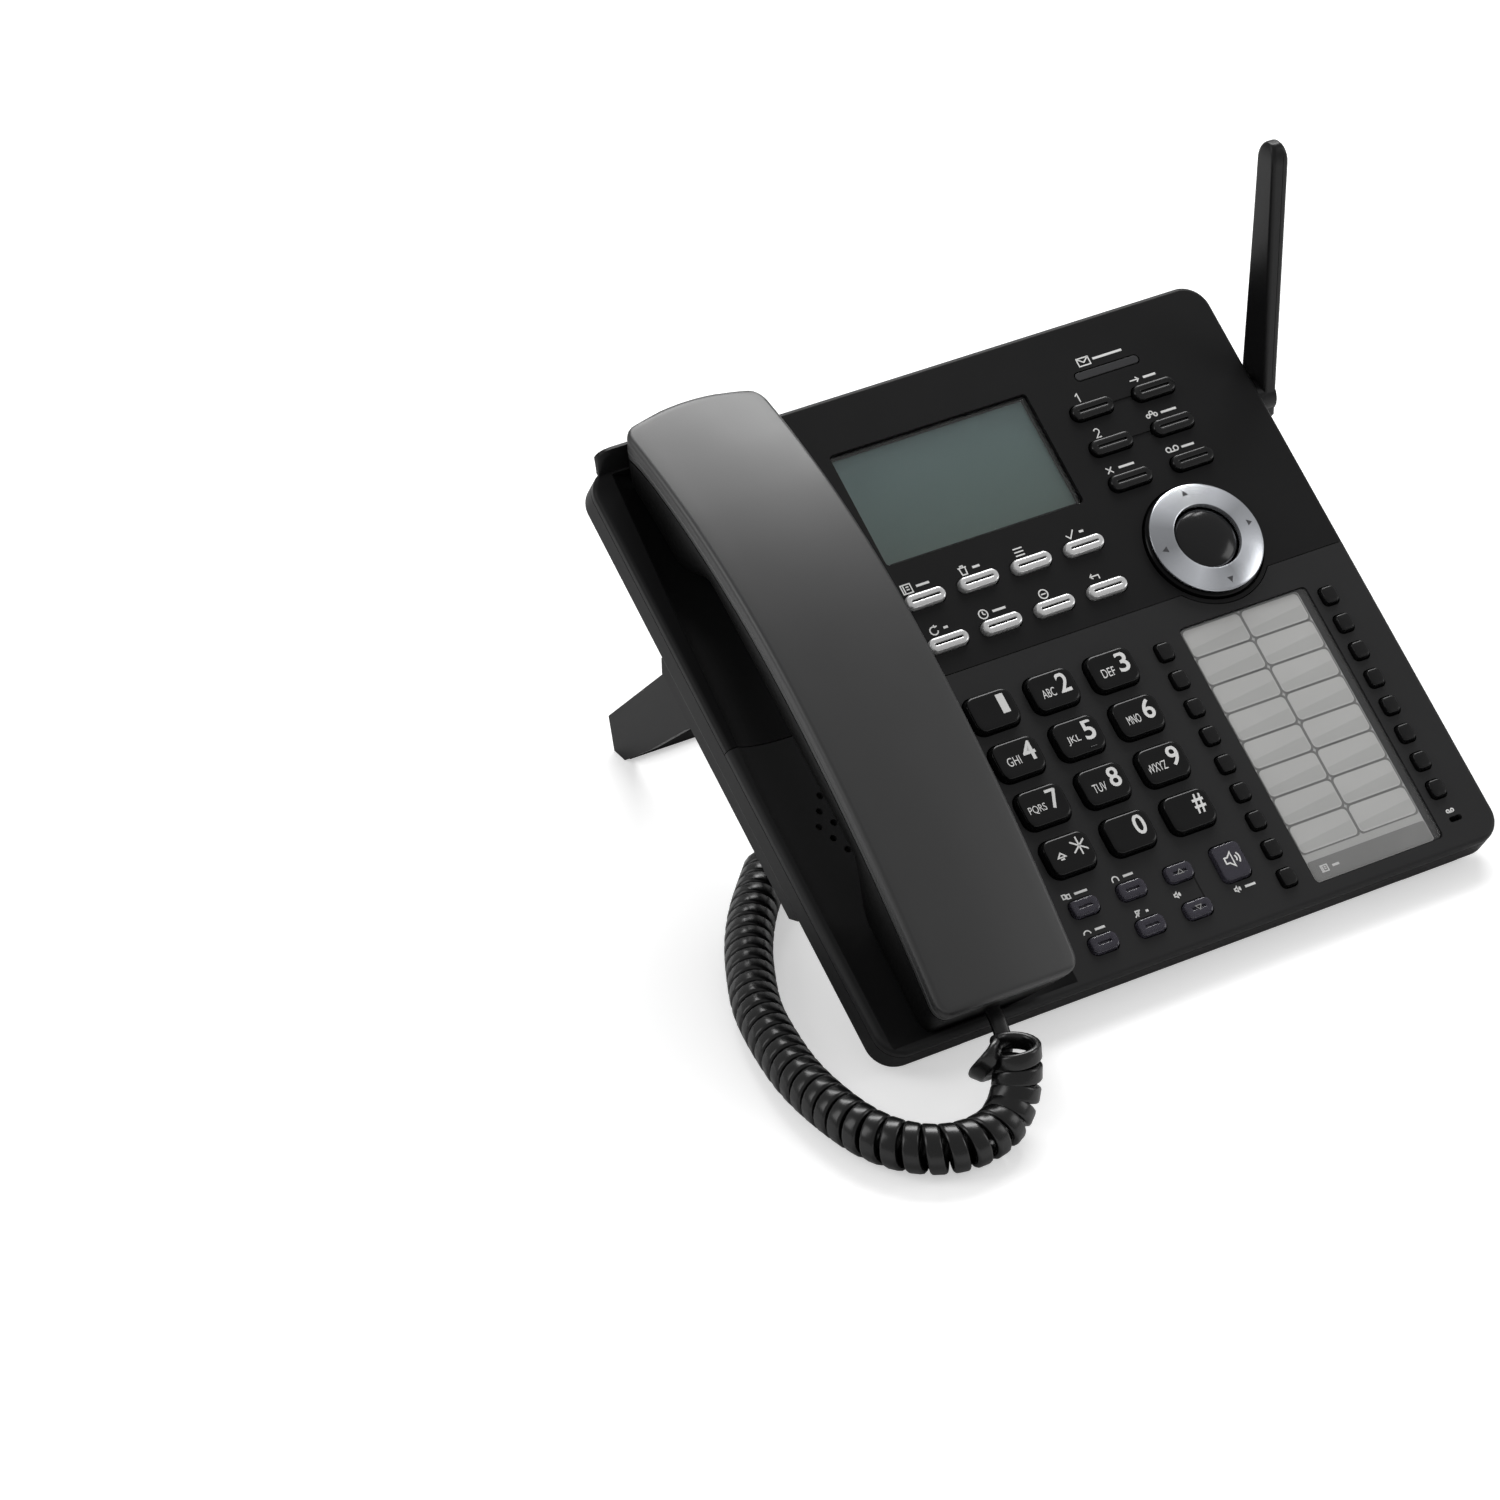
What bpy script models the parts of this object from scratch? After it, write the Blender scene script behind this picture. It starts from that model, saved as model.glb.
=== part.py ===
"""Desk phone with a radio antenna, a corded handset, a curly cord and a desk stand.

Lengths are in metres. The panel frame has X across the front panel from its left wall, Y up the
panel from its front edge and Z out of its face. It leans back on the stand by panel_tilt.
The base frame stands on the table: its origin is under the middle of the phone.
"""
import bpy
import bmesh
import math
from mathutils import Matrix, Vector

# Housing
panel_width = 0.2167
panel_length = 0.1974
panel_tilt = math.radians(32.66)
cradle_right = 0.0655
controls_width = panel_width - cradle_right
controls_length_share = 0.7659574
least_width = min(controls_width, panel_length * controls_length_share)
panel_lift = 0.0112
panel_thickness = 0.0030
panel_corner = 0.0084
panel_rounding = 0.0016
split_line_share = 0.5212766
split_line = panel_length * split_line_share
seam_gap = 0.0003
case_depth = 0.0110
case_wall = 0.0015
case_floor = 0.0016
belly_depth = 0.0152
belly_front_share = 0.2583587
belly_front = panel_length * belly_front_share
belly_back_share = 0.7092199
belly_back = panel_length * belly_back_share
belly_chamfer = 0.0030
overrun = 0.0020

# Handset cradle
cradle_left = 0.0028
cradle_depth = 0.0066
cradle_rim = 0.0025
cradle_wall = 0.0016
cradle_shoulder = 0.0080
lip_height = 0.0065
lip_lean = 0.0036
lip_wall = 0.0020
lip_side = 0.0040
grille_y_share = 0.3748734
grille_y = panel_length * grille_y_share
grille_pitch = 0.0052
grille_hole = 0.0011
grille_rings = 3

# Keys: cap sizes, rise over the panel and places on the panel
key_gap = 0.0004
key_flange = 0.0008
key_flange_width = 0.0009
dial_width_share = 0.1058201
dial_width = controls_width * dial_width_share
dial_length_share = 0.0618034
dial_length = panel_length * dial_length_share
dial_corner = 0.0034
dial_rise = 0.0026
dial_rounding = 0.0009
dial_x_share = 0.2466931
dial_x = cradle_right + controls_width * dial_x_share
dial_y_share = 0.4432624
dial_y = panel_length * dial_y_share
dial_pitch_x_share = 0.1388889
dial_pitch_x = controls_width * dial_pitch_x_share
dial_pitch_y_share = 0.0822188
dial_pitch_y = panel_length * dial_pitch_y_share
soft_width_share = 0.0899471
soft_width = controls_width * soft_width_share
soft_length_share = 0.0233029
soft_length = panel_length * soft_length_share
soft_rise = 0.0018
soft_x_share = 0.0965608
soft_x = cradle_right + controls_width * soft_x_share
soft_y_share = 0.6453901
soft_y = panel_length * soft_y_share
soft_pitch_x_share = 0.1232804
soft_pitch_x = controls_width * soft_pitch_x_share
soft_pitch_y_share = 0.0759878
soft_pitch_y = panel_length * soft_pitch_y_share
function_width_share = 0.0972222
function_width = controls_width * function_width_share
function_length_share = 0.0263425
function_length = panel_length * function_length_share
function_x_share = 0.6335979
function_x = cradle_right + controls_width * function_x_share
function_y_share = 0.8500507
function_y = panel_length * function_y_share
function_pitch_x_share = 0.1474868
function_pitch_x = controls_width * function_pitch_x_share
function_pitch_y_share = 0.0638298
function_pitch_y = panel_length * function_pitch_y_share
small_rounding = 0.0006
clear_width_share = 0.0615079
clear_width = controls_width * clear_width_share
clear_length_share = 0.0278622
clear_length = panel_length * clear_length_share
clear_corner = 0.0020
clear_rise = 0.0014
clear_x_share = 0.0869709
clear_x = cradle_right + controls_width * clear_x_share
clear_y_share = 0.1144883
clear_y = panel_length * clear_y_share
clear_pitch_x_share = 0.108664
clear_pitch_x = controls_width * clear_pitch_x_share
clear_pitch_y_share = 0.0614488
clear_pitch_y = panel_length * clear_pitch_y_share
speaker_width_share = 0.0654762
speaker_width = controls_width * speaker_width_share
speaker_length_share = 0.0597771
speaker_length = panel_length * speaker_length_share
speaker_x_share = 0.4166667
speaker_x = cradle_right + controls_width * speaker_x_share
speaker_y_share = 0.1028369
speaker_y = panel_length * speaker_y_share
memory_width_share = 0.0343915
memory_width = controls_width * memory_width_share
memory_length_share = 0.029382
memory_length = panel_length * memory_length_share
memory_corner = 0.0014
memory_rise = 0.0016
memory_left_x_share = 0.5119048
memory_left_x = cradle_right + controls_width * memory_left_x_share
memory_right_x_share = 0.9060847
memory_right_x = cradle_right + controls_width * memory_right_x_share
memory_y_share = 0.4442756
memory_y = panel_length * memory_y_share
memory_pitch_share = 0.0491895
memory_pitch = panel_length * memory_pitch_share
memory_left_count = 9
memory_right_count = 8
memory_bar_width = 0.0030

# Navigation ring
nav_x_share = 0.7126323
nav_x = cradle_right + controls_width * nav_x_share
nav_y_share = 0.5909321
nav_y = panel_length * nav_y_share
nav_ring_radius_share = 0.1200397
nav_ring_radius = least_width * nav_ring_radius_share
nav_hub_radius_share = 0.0661376
nav_hub_radius = least_width * nav_hub_radius_share
nav_hub_gap = 0.0006
nav_skirt_radius_share = 0.1236772
nav_skirt_radius = least_width * nav_skirt_radius_share
nav_opening_gap = 0.0007
nav_ring_top = 0.0042
nav_ring_edge = 0.0031
nav_ring_under = 0.0022
nav_skirt_top = 0.0010
nav_seat_inner = 0.00045
nav_seat_outer = 0.00075
scallop_radius_share = 0.1375661
scallop_radius = least_width * scallop_radius_share

# Display, lamp and memory list
display_left_share = 0.0605159
display_left = cradle_right + controls_width * display_left_share
display_right_share = 0.5152116
display_right = cradle_right + controls_width * display_right_share
display_low_share = 0.7147923
display_low = panel_length * display_low_share
display_high_share = 0.9072948
display_high = panel_length * display_high_share
display_corner = 0.0010
display_recess = 0.0010
display_lens = 0.0012
display_border = 0.0020
module_thickness = 0.0016
lamp_x_share = 0.7116402
lamp_x = cradle_right + controls_width * lamp_x_share
lamp_y_share = 0.9078014
lamp_y = panel_length * lamp_y_share
lamp_width_share = 0.1494709
lamp_width = controls_width * lamp_width_share
lamp_length = 0.0025
list_left_share = 0.5681217
list_left = cradle_right + controls_width * list_left_share
list_right_share = 0.8670635
list_right = cradle_right + controls_width * list_right_share
list_low_share = 0.0278622
list_low = panel_length * list_low_share
list_high_share = 0.4701114
list_high = panel_length * list_high_share
list_corner = 0.0016
list_depth = 0.0016
list_cover = 0.0006
list_card = 0.0003
list_inset = 0.0001
mic_x_share = 0.9133598
mic_x = cradle_right + controls_width * mic_x_share
mic_y_share = 0.0471125
mic_y = panel_length * mic_y_share
mic_width_share = 0.0238095
mic_width = controls_width * mic_width_share
mic_length = 0.0010

# Board and mat under the keys
mat_drop = 0.0024
mat_thickness = 0.0008
board_thickness = 0.0016
board_left = 0.0690
board_margin = 0.0050
boss_radius = 0.0030
boss_inset = 0.0100

# Loudspeaker
loudspeaker_radius = 0.0172
loudspeaker_height = 0.0036
loudspeaker_cone_radius = 0.0140
loudspeaker_cone_depth = 0.0018

# Front skirts and feet
skirt_length = 0.0090
left_skirt_start = 0.0080
left_skirt_end_share = 0.5701058
left_skirt_end = cradle_right + controls_width * left_skirt_end_share
right_skirt_start_share = 0.6779101
right_skirt_start = cradle_right + controls_width * right_skirt_start_share
right_skirt_end_share = 0.9424603
right_skirt_end = cradle_right + controls_width * right_skirt_end_share
foot_thickness = 0.0012
foot_margin = 0.0012
foot_length = 0.0220

# Desk stand, its leg in the plane that stands across the phone
stand_side = 0.0224
stand_wall = 0.0030
stand_plate = 0.0026
stand_front_share = 0.597771
stand_front = panel_length * stand_front_share
stand_heel_y_share = 0.9614995
stand_heel_y = panel_length * stand_heel_y_share
stand_heel_back = 0.0032
stand_heel_height = 0.0109
stand_toe_y_share = 0.9295846
stand_toe_y = panel_length * stand_toe_y_share
stand_knee_y_share = 0.8541033
stand_knee_y = panel_length * stand_knee_y_share
stand_knee_height = 0.0122
stand_shank_y_share = 0.7497467
stand_shank_y = panel_length * stand_shank_y_share
stand_shank_height = 0.0310
stand_bar_depth = 0.0071
stand_plate_lap = 0.0120

# Antenna
antenna_y_share = 0.8049645
antenna_y = panel_length * antenna_y_share
antenna_depth = 0.0075
antenna_gap = 0.0013
antenna_thickness = 0.0061
antenna_height = 0.0870
antenna_front = 0.0048
antenna_back_low = 0.0063
antenna_back_high = 0.0037
antenna_knuckle = 0.0056
antenna_pin = 0.0013
antenna_edge = 0.0013

# Handset
handset_x = 0.03335
handset_width = 0.0469
handset_end_height = 0.0220
handset_high_end_height = 0.0143
handset_middle_height = 0.0325
handset_start = -0.0005
handset_length = 0.2045
handset_band = 0.0060
handset_wall = 0.0020
handset_corner = 0.0055
handset_edge = 0.0016
handset_crown = 0.0008
handset_low_taper = 0.0053
handset_high_taper = 0.0124
handset_high_bend_share = 0.6
handset_bow = 0.0030
handset_pad_length = 0.0400
handset_pad_width = 0.0205
handset_arch_height = 0.0110
handset_arch_width = 0.0300
handset_lift = 0.0800
capsule_radius = 0.0090
capsule_height = 0.0040
capsule_place_share = 0.62
hole_radius = 0.0009
hole_pitch = 0.0036

# Hook switch
hook_y_share = 0.8510638
hook_y = panel_length * hook_y_share
hook_width = 0.0070
hook_length = 0.0040

# Curly cord
tube_radius = 0.0016
coil_radius = 0.00715
coil_pitch = 0.0055
curl_points = 8
plug_x = 0.0330
plug_y_share = 0.4812563
plug_y = panel_length * plug_y_share
plug_width = 0.0077
plug_length = 0.0066
plug_height = 0.0110
plug_inside = 0.0050
line_inlet_x = 0.0620
power_inlet_x_share = 0.2810847
power_inlet_x = cradle_right + controls_width * power_inlet_x_share
curl_gap = 0.0006
coil_start = math.radians(185.0)

# Colours of the pieces
upper_black = (0.016, 0.016, 0.017)
lower_black = (0.028, 0.028, 0.029)
handset_black = (0.030, 0.030, 0.031)
key_black = (0.010, 0.010, 0.011)
silver = (0.62, 0.63, 0.65)
chrome = (0.72, 0.73, 0.76)
smoke = (0.10, 0.09, 0.13)
lens_clear = (0.55, 0.58, 0.58)
display_green = (0.11, 0.16, 0.15)
card_grey = (0.45, 0.45, 0.44)
lamp_grey = (0.07, 0.07, 0.07)
board_green = (0.03, 0.12, 0.05)
rubber_grey = (0.04, 0.04, 0.04)
cone_brown = (0.05, 0.04, 0.035)
steel = (0.45, 0.45, 0.46)


def remove_scene_objects():
    for item in list(bpy.data.objects):
        bpy.data.objects.remove(item, do_unlink=True)


def make_collection(name):
    group = bpy.data.collections.new(name)
    bpy.context.scene.collection.children.link(group)
    return group


remove_scene_objects()
phone = make_collection("cordless_desk_phone")
cutters = make_collection("cutters")
materials = {}


def material(name, colour, roughness, metallic=0.0):
    """Returns the named material, made on its first use."""
    if name not in materials:
        made = bpy.data.materials.new(name)
        made.use_nodes = True
        shader = made.node_tree.nodes["Principled BSDF"]
        shader.inputs["Base Color"].default_value = (*colour, 1.0)
        shader.inputs["Roughness"].default_value = roughness
        shader.inputs["Metallic"].default_value = metallic
        materials[name] = made
    return materials[name]


def empty(name, parent=None, location=(0.0, 0.0, 0.0), tilt=0.0):
    frame = bpy.data.objects.new(name, None)
    frame.location = location
    frame.rotation_euler = (tilt, 0.0, 0.0)
    frame.parent = parent
    phone.objects.link(frame)
    return frame


base_frame = empty("base_frame")
panel_frame = empty("panel_frame", base_frame, (0.0, 0.0, panel_lift), panel_tilt)


def mesh_of(shape, name):
    """Turns a bmesh into a mesh, shaded smooth except at its sharp edges."""
    bmesh.ops.recalc_face_normals(shape, faces=shape.faces)
    mesh = bpy.data.meshes.new(name)
    shape.to_mesh(mesh)
    shape.free()
    mesh.shade_smooth()
    mesh.set_sharp_from_angle(angle=math.radians(35.0))
    return mesh


def piece(name, mesh, look, location=(0.0, 0.0, 0.0), parent=None):
    """A visible sub-part in the phone's collection."""
    made = bpy.data.objects.new(name, mesh)
    made.location = location
    made.parent = parent or panel_frame
    if not mesh.materials:
        mesh.materials.append(look)
    phone.objects.link(made)
    return made


def tool(name, shape, location=(0.0, 0.0, 0.0), parent=None):
    """A cutter or a piece to be joined, which the build leaves out."""
    made = bpy.data.objects.new(name, mesh_of(shape, name))
    made.location = location
    made.parent = parent or panel_frame
    made.hide_render = True
    made.display_type = "WIRE"
    cutters.objects.link(made)
    return made


def combine(target, other, operation):
    step = target.modifiers.new(operation.lower() + "_" + other.name, "BOOLEAN")
    step.operation = operation
    step.object = other
    step.solver = "EXACT"


def subtract(target, other):
    combine(target, other, "DIFFERENCE")


def unite(target, other):
    combine(target, other, "UNION")


def block(low, high, corner=0.0, edge=0.0, corner_steps=2, edge_steps=1, under=0.0):
    """A box from its low to its high corner, with rounded uprights, top edge and under edge."""
    shape = bmesh.new()
    bmesh.ops.create_cube(shape, size=1.0)
    low = Vector(low)
    high = Vector(high)
    bmesh.ops.scale(shape, vec=high - low, verts=shape.verts)
    bmesh.ops.translate(shape, vec=(high + low) / 2, verts=shape.verts)
    if corner > 0:
        uprights = [e for e in shape.edges if abs(e.verts[0].co.z - e.verts[1].co.z) > (high.z - low.z) / 2]
        bmesh.ops.bevel(shape, geom=uprights, offset=corner, segments=corner_steps, affect="EDGES",
                        profile=0.5)
    for offset, level in ((edge, high.z), (under, low.z)):
        if offset > 0:
            slack = (high.z - low.z) / 100
            ring = [e for e in shape.edges if all(abs(v.co.z - level) < slack for v in e.verts)]
            bmesh.ops.bevel(shape, geom=ring, offset=offset, segments=edge_steps, affect="EDGES", profile=0.5)
    return shape


def merged(shapes):
    """Several bmeshes in one, each still a body of its own."""
    whole = bmesh.new()
    for shape in shapes:
        mesh = bpy.data.meshes.new("merge_step")
        shape.to_mesh(mesh)
        shape.free()
        whole.from_mesh(mesh)
        bpy.data.meshes.remove(mesh)
    return whole


def loft(sections):
    """A closed solid through rings of points, one ring after another, with a cap at each end."""
    shape = bmesh.new()
    rings = [[shape.verts.new(point) for point in ring] for ring in sections]
    count = len(rings[0])
    for first, second in zip(rings, rings[1:]):
        for i in range(count):
            j = (i + 1) % count
            shape.faces.new((first[i], first[j], second[j], second[i]))
    shape.faces.new(rings[0])
    shape.faces.new(list(reversed(rings[-1])))
    return shape


def prism(outline, start, end):
    """An outline of (y, z) points drawn out along X."""
    return loft([[(x, y, z) for y, z in outline] for x in (start, end)])


def disc(x, y, radius, low, high, sides=24):
    """An upright cylinder."""
    shape = bmesh.new()
    place = Matrix.Translation((x, y, (low + high) / 2))
    bmesh.ops.create_cone(shape, cap_ends=True, segments=sides, radius1=radius, radius2=radius,
                          depth=high - low, matrix=place)
    return shape


def cross_disc(x_low, x_high, y, z, radius, sides=20):
    """A cylinder that lies along X."""
    shape = bmesh.new()
    place = Matrix.Translation(((x_low + x_high) / 2, y, z)) @ Matrix.Rotation(math.pi / 2, 4, "Y")
    bmesh.ops.create_cone(shape, cap_ends=True, segments=sides, radius1=radius, radius2=radius,
                          depth=x_high - x_low, matrix=place)
    return shape


def turned(name, profile, look, location, sides=32):
    """A piece turned about its upright axis from (radius, height) points, listed top to bottom outside."""
    mesh = bpy.data.meshes.new(name)
    points = [(radius, 0.0, height) for radius, height in profile]
    closed = profile[0][0] > 0
    edges = [(i, i + 1) for i in range(len(points) - 1)]
    if closed:
        edges.append((len(points) - 1, 0))
    mesh.from_pydata(points, edges, [])
    made = piece(name, mesh, look, location)
    screw = made.modifiers.new("turn", "SCREW")
    screw.steps = sides
    screw.render_steps = sides
    screw.use_merge_vertices = True
    screw.merge_threshold = tube_radius / 100
    screw.use_smooth_shade = True
    return made


def grid_places(x, y, pitch_x, pitch_y, columns, rows):
    """Places of a field of keys, row by row from the top left."""
    return [(x + pitch_x * i, y - pitch_y * j) for j in range(rows) for i in range(columns)]


dial_places = grid_places(dial_x - dial_pitch_x, dial_y, dial_pitch_x, dial_pitch_y, 3, 4)
soft_places = grid_places(soft_x, soft_y, soft_pitch_x, soft_pitch_y, 4, 2)
function_places = grid_places(function_x, function_y, function_pitch_x, function_pitch_y, 2, 3)
clear_places = grid_places(clear_x, clear_y, clear_pitch_x, clear_pitch_y, 3, 2)
memory_left_places = grid_places(memory_left_x, memory_y, 0.0, memory_pitch, 1, memory_left_count)
memory_right_places = grid_places(memory_right_x, memory_y, 0.0, memory_pitch, 1, memory_right_count)
dial_names = ["1", "2", "3", "4", "5", "6", "7", "8", "9", "star", "0", "hash"]


def opening(x, y, width, length, corner, corner_steps=2):
    """The hole that a key or a lens needs in the panel, as a cutter."""
    half_x = width / 2 + key_gap
    half_y = length / 2 + key_gap
    low = (x - half_x, y - half_y, -panel_thickness - overrun)
    high = (x + half_x, y + half_y, overrun)
    return block(low, high, corner + key_gap, corner_steps=corner_steps)


def capsule_corner(length):
    """Rounds the ends of a bar almost to half circles."""
    return length * 0.46


def dial_openings():
    return [opening(x, y, dial_width, dial_length, dial_corner) for x, y in dial_places]


def clear_openings():
    small = [opening(x, y, clear_width, clear_length, clear_corner) for x, y in clear_places]
    return small + [opening(speaker_x, speaker_y, speaker_width, speaker_length, clear_corner)]


def memory_openings():
    places = memory_left_places + memory_right_places
    return [opening(x, y, memory_width, memory_length, memory_corner, 1) for x, y in places]


def bar_openings():
    soft = [opening(x, y, soft_width, soft_length, capsule_corner(soft_length)) for x, y in soft_places]
    return soft + [opening(x, y, function_width, function_length, capsule_corner(function_length))
                   for x, y in function_places]


# Front panels

def cradle_profile(left):
    """Cross-section of the cradle's hollow, as (x, z) points over its open top."""
    span = handset_x - left
    right_span = cradle_right - handset_x
    shares = ((1.0, 0.0), (0.93, 0.30), (0.80, 0.62), (0.62, 0.86), (0.40, 1.0))
    left_side = [(handset_x - span * across, -cradle_depth * down) for across, down in shares]
    right_side = [(handset_x + right_span * across, -cradle_depth * down)
                  for across, down in reversed(shares)]
    top = [(right_side[-1][0], overrun), (left_side[0][0], overrun)]
    return left_side + right_side + top


def cradle_hollow():
    """The hollow that the handset lies in; its left rim widens towards the top of the phone."""
    stations = ((cradle_rim, cradle_left), (split_line * 0.85, cradle_left),
                (panel_length * 0.75, (cradle_left + cradle_shoulder) / 2),
                (panel_length - cradle_rim, cradle_shoulder))
    return loft([[(x, y, z) for x, z in cradle_profile(left)] for y, left in stations])


def cradle_tub():
    """The material under the hollow."""
    inset = case_wall + seam_gap
    low = (inset, inset, -cradle_depth - cradle_wall)
    high = (cradle_right + cradle_wall, panel_length - inset, -panel_thickness / 2)
    return block(low, high, panel_corner - inset, corner_steps=5)


def grille_holes():
    """A six-sided field of holes in the cradle's floor, over the loudspeaker."""
    places = []
    for row in range(-grille_rings, grille_rings + 1):
        count = 2 * grille_rings + 1 - abs(row)
        for i in range(count):
            x = handset_x + (i - (count - 1) / 2) * grille_pitch
            places.append((x, grille_y + row * grille_pitch * math.sqrt(3) / 2))
    low = -cradle_depth - cradle_wall - overrun
    return [disc(x, y, grille_hole, low, overrun, 6) for x, y in places]


def panel_slab(name, look):
    """The whole front panel with its cradle, before it is cut to the upper or the lower piece."""
    slab = block((0.0, 0.0, -panel_thickness), (panel_width, panel_length, 0.0),
                 panel_corner, panel_rounding, corner_steps=5, edge_steps=3)
    made = piece(name, mesh_of(slab, name), look)
    unite(made, tool(name + "_tub", cradle_tub()))
    subtract(made, tool(name + "_hollow", cradle_hollow()))
    return made


def cradle_lip():
    """The raised lip behind the handset's upper end, a curved wall that leans outwards."""
    inner = panel_length - cradle_rim
    shares = ((0.0, 0.0), (0.35, 0.30), (0.70, 0.68), (1.0, 1.0))
    inside = [(inner + lip_lean * lean, -panel_rounding + (lip_height + panel_rounding) * rise)
              for rise, lean in shares]
    outer = [(y + lip_wall, z) for y, z in reversed(inside)]
    right = cradle_right - lip_side
    left = lip_side
    bend = lip_wall * 2
    stations = ((left, 0.72), (left + bend, 0.96), (left + bend * 2, 1.0),
                (right - bend * 2, 1.0), (right - bend, 0.96), (right, 0.72))
    return loft([[(x, y, z * height) for y, z in inside + outer] for x, height in stations])


def make_upper_panel():
    look = material("upper_panel_plastic", upper_black, 0.42)
    made = panel_slab("upper_panel", look)
    unite(made, tool("upper_lip", cradle_lip()))
    margin = panel_width / 10
    subtract(made, tool("upper_side", split_cutter(False, margin)))
    openings = bar_openings()
    openings.append(opening((display_left + display_right) / 2, (display_low + display_high) / 2,
                            display_right - display_left, display_high - display_low, display_corner))
    openings.append(opening(lamp_x, lamp_y, lamp_width, lamp_length, capsule_corner(lamp_length)))
    openings.append(disc(nav_x, nav_y, nav_skirt_radius + nav_opening_gap, -panel_thickness - overrun,
                         overrun, 48))
    openings.append(block((handset_x - hook_width / 2 - key_gap, hook_y - hook_length / 2 - key_gap,
                           -cradle_depth - cradle_wall - overrun),
                          (handset_x + hook_width / 2 + key_gap, hook_y + hook_length / 2 + key_gap, 0.0)))
    subtract(made, tool("upper_openings", merged(openings)))
    return made


def split_cutter(keep_lower, margin):
    """What lies across the split line from a panel piece: straight, with the scallop under the ring."""
    depth = -cradle_depth - cradle_wall - margin
    top = lip_height + margin
    half_gap = seam_gap / 2
    steps = 24
    low_angle = math.asin((split_line - nav_y) / scallop_radius)
    radius = scallop_radius + (half_gap if keep_lower else -half_gap)
    level = split_line - half_gap if keep_lower else split_line + half_gap
    start_angle = math.pi - low_angle
    end_angle = 2 * math.pi + low_angle
    arc = [(nav_x + radius * math.cos(start_angle + (end_angle - start_angle) * i / steps),
            nav_y + radius * math.sin(start_angle + (end_angle - start_angle) * i / steps))
           for i in range(steps + 1)]
    far_y = panel_length + margin if keep_lower else -margin
    outline = [(-margin, far_y), (-margin, level)] + arc + [(panel_width + margin, level),
                                                            (panel_width + margin, far_y)]
    return loft([[(x, y, z) for x, y in outline] for z in (depth, top)])


def make_lower_panel():
    look = material("lower_panel_plastic", lower_black, 0.50)
    made = panel_slab("lower_panel", look)
    margin = panel_width / 10
    subtract(made, tool("lower_side", split_cutter(True, margin)))
    openings = dial_openings() + clear_openings() + memory_openings() + grille_holes()
    openings.append(block((list_left - key_gap, list_low - key_gap, -list_depth),
                          (list_right + key_gap, list_high + key_gap, overrun), list_corner))
    openings.append(opening(mic_x, mic_y, mic_width, mic_length, mic_length / 3))
    subtract(made, tool("lower_openings", merged(openings)))
    return made


# Keys

def rounded_outline(half_x, half_y, corner, steps):
    """Points around a rectangle with rounded corners."""
    points = []
    for quarter, (side_x, side_y) in enumerate(((1, 1), (-1, 1), (-1, -1), (1, -1))):
        for i in range(steps + 1):
            angle = math.pi / 2 * (quarter + i / steps)
            points.append((side_x * (half_x - corner) + corner * math.cos(angle),
                           side_y * (half_y - corner) + corner * math.sin(angle)))
    return points


def key_mesh(name, look, width, length, corner, rise, rounding):
    """A key about its own middle: a flange under the panel and a cap that stands out of it."""
    top = -panel_thickness - seam_gap
    spread = key_gap + key_flange_width
    levels = ((top - key_flange, spread), (top, spread), (top, 0.0), (rise - rounding, 0.0),
              (rise, -rounding))
    rings = [[(x, y, z) for x, y in rounded_outline(width / 2 + out, length / 2 + out, corner + out, 2)]
             for z, out in levels]
    mesh = mesh_of(loft(rings), name)
    mesh.materials.append(look)
    return mesh


def make_keys(names, places, mesh, look):
    for name, (x, y) in zip(names, places):
        piece(name, mesh, look, (x, y, 0.0))


def make_dial_keys():
    look = material("dial_key_plastic", key_black, 0.35)
    mesh = key_mesh("dial_key", look, dial_width, dial_length, dial_corner, dial_rise, dial_rounding)
    make_keys(["dial_key_" + name for name in dial_names], dial_places, mesh, look)


def make_soft_keys():
    look = material("silver_key_finish", silver, 0.28, 0.9)
    mesh = key_mesh("soft_key", look, soft_width, soft_length, capsule_corner(soft_length),
                    soft_rise, small_rounding)
    names = [f"soft_key_{row}_{column}" for row in ("upper", "lower") for column in range(1, 5)]
    make_keys(names, soft_places, mesh, look)


def make_function_keys():
    look = material("function_key_plastic", key_black, 0.35)
    mesh = key_mesh("function_key", look, function_width, function_length,
                    capsule_corner(function_length), soft_rise, small_rounding)
    names = [f"function_key_{row}_{side}" for row in range(1, 4) for side in ("left", "right")]
    make_keys(names, function_places, mesh, look)


def make_clear_keys():
    look = material("smoke_clear_plastic", smoke, 0.15)
    mesh = key_mesh("clear_key", look, clear_width, clear_length, clear_corner, clear_rise,
                    small_rounding)
    names = [f"clear_key_{row}_{column}" for row in ("upper", "lower") for column in range(1, 4)]
    make_keys(names, clear_places, mesh, look)
    large = key_mesh("speaker_key", look, speaker_width, speaker_length, clear_corner, clear_rise,
                     small_rounding)
    piece("speaker_key", large, look, (speaker_x, speaker_y, 0.0))


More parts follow.
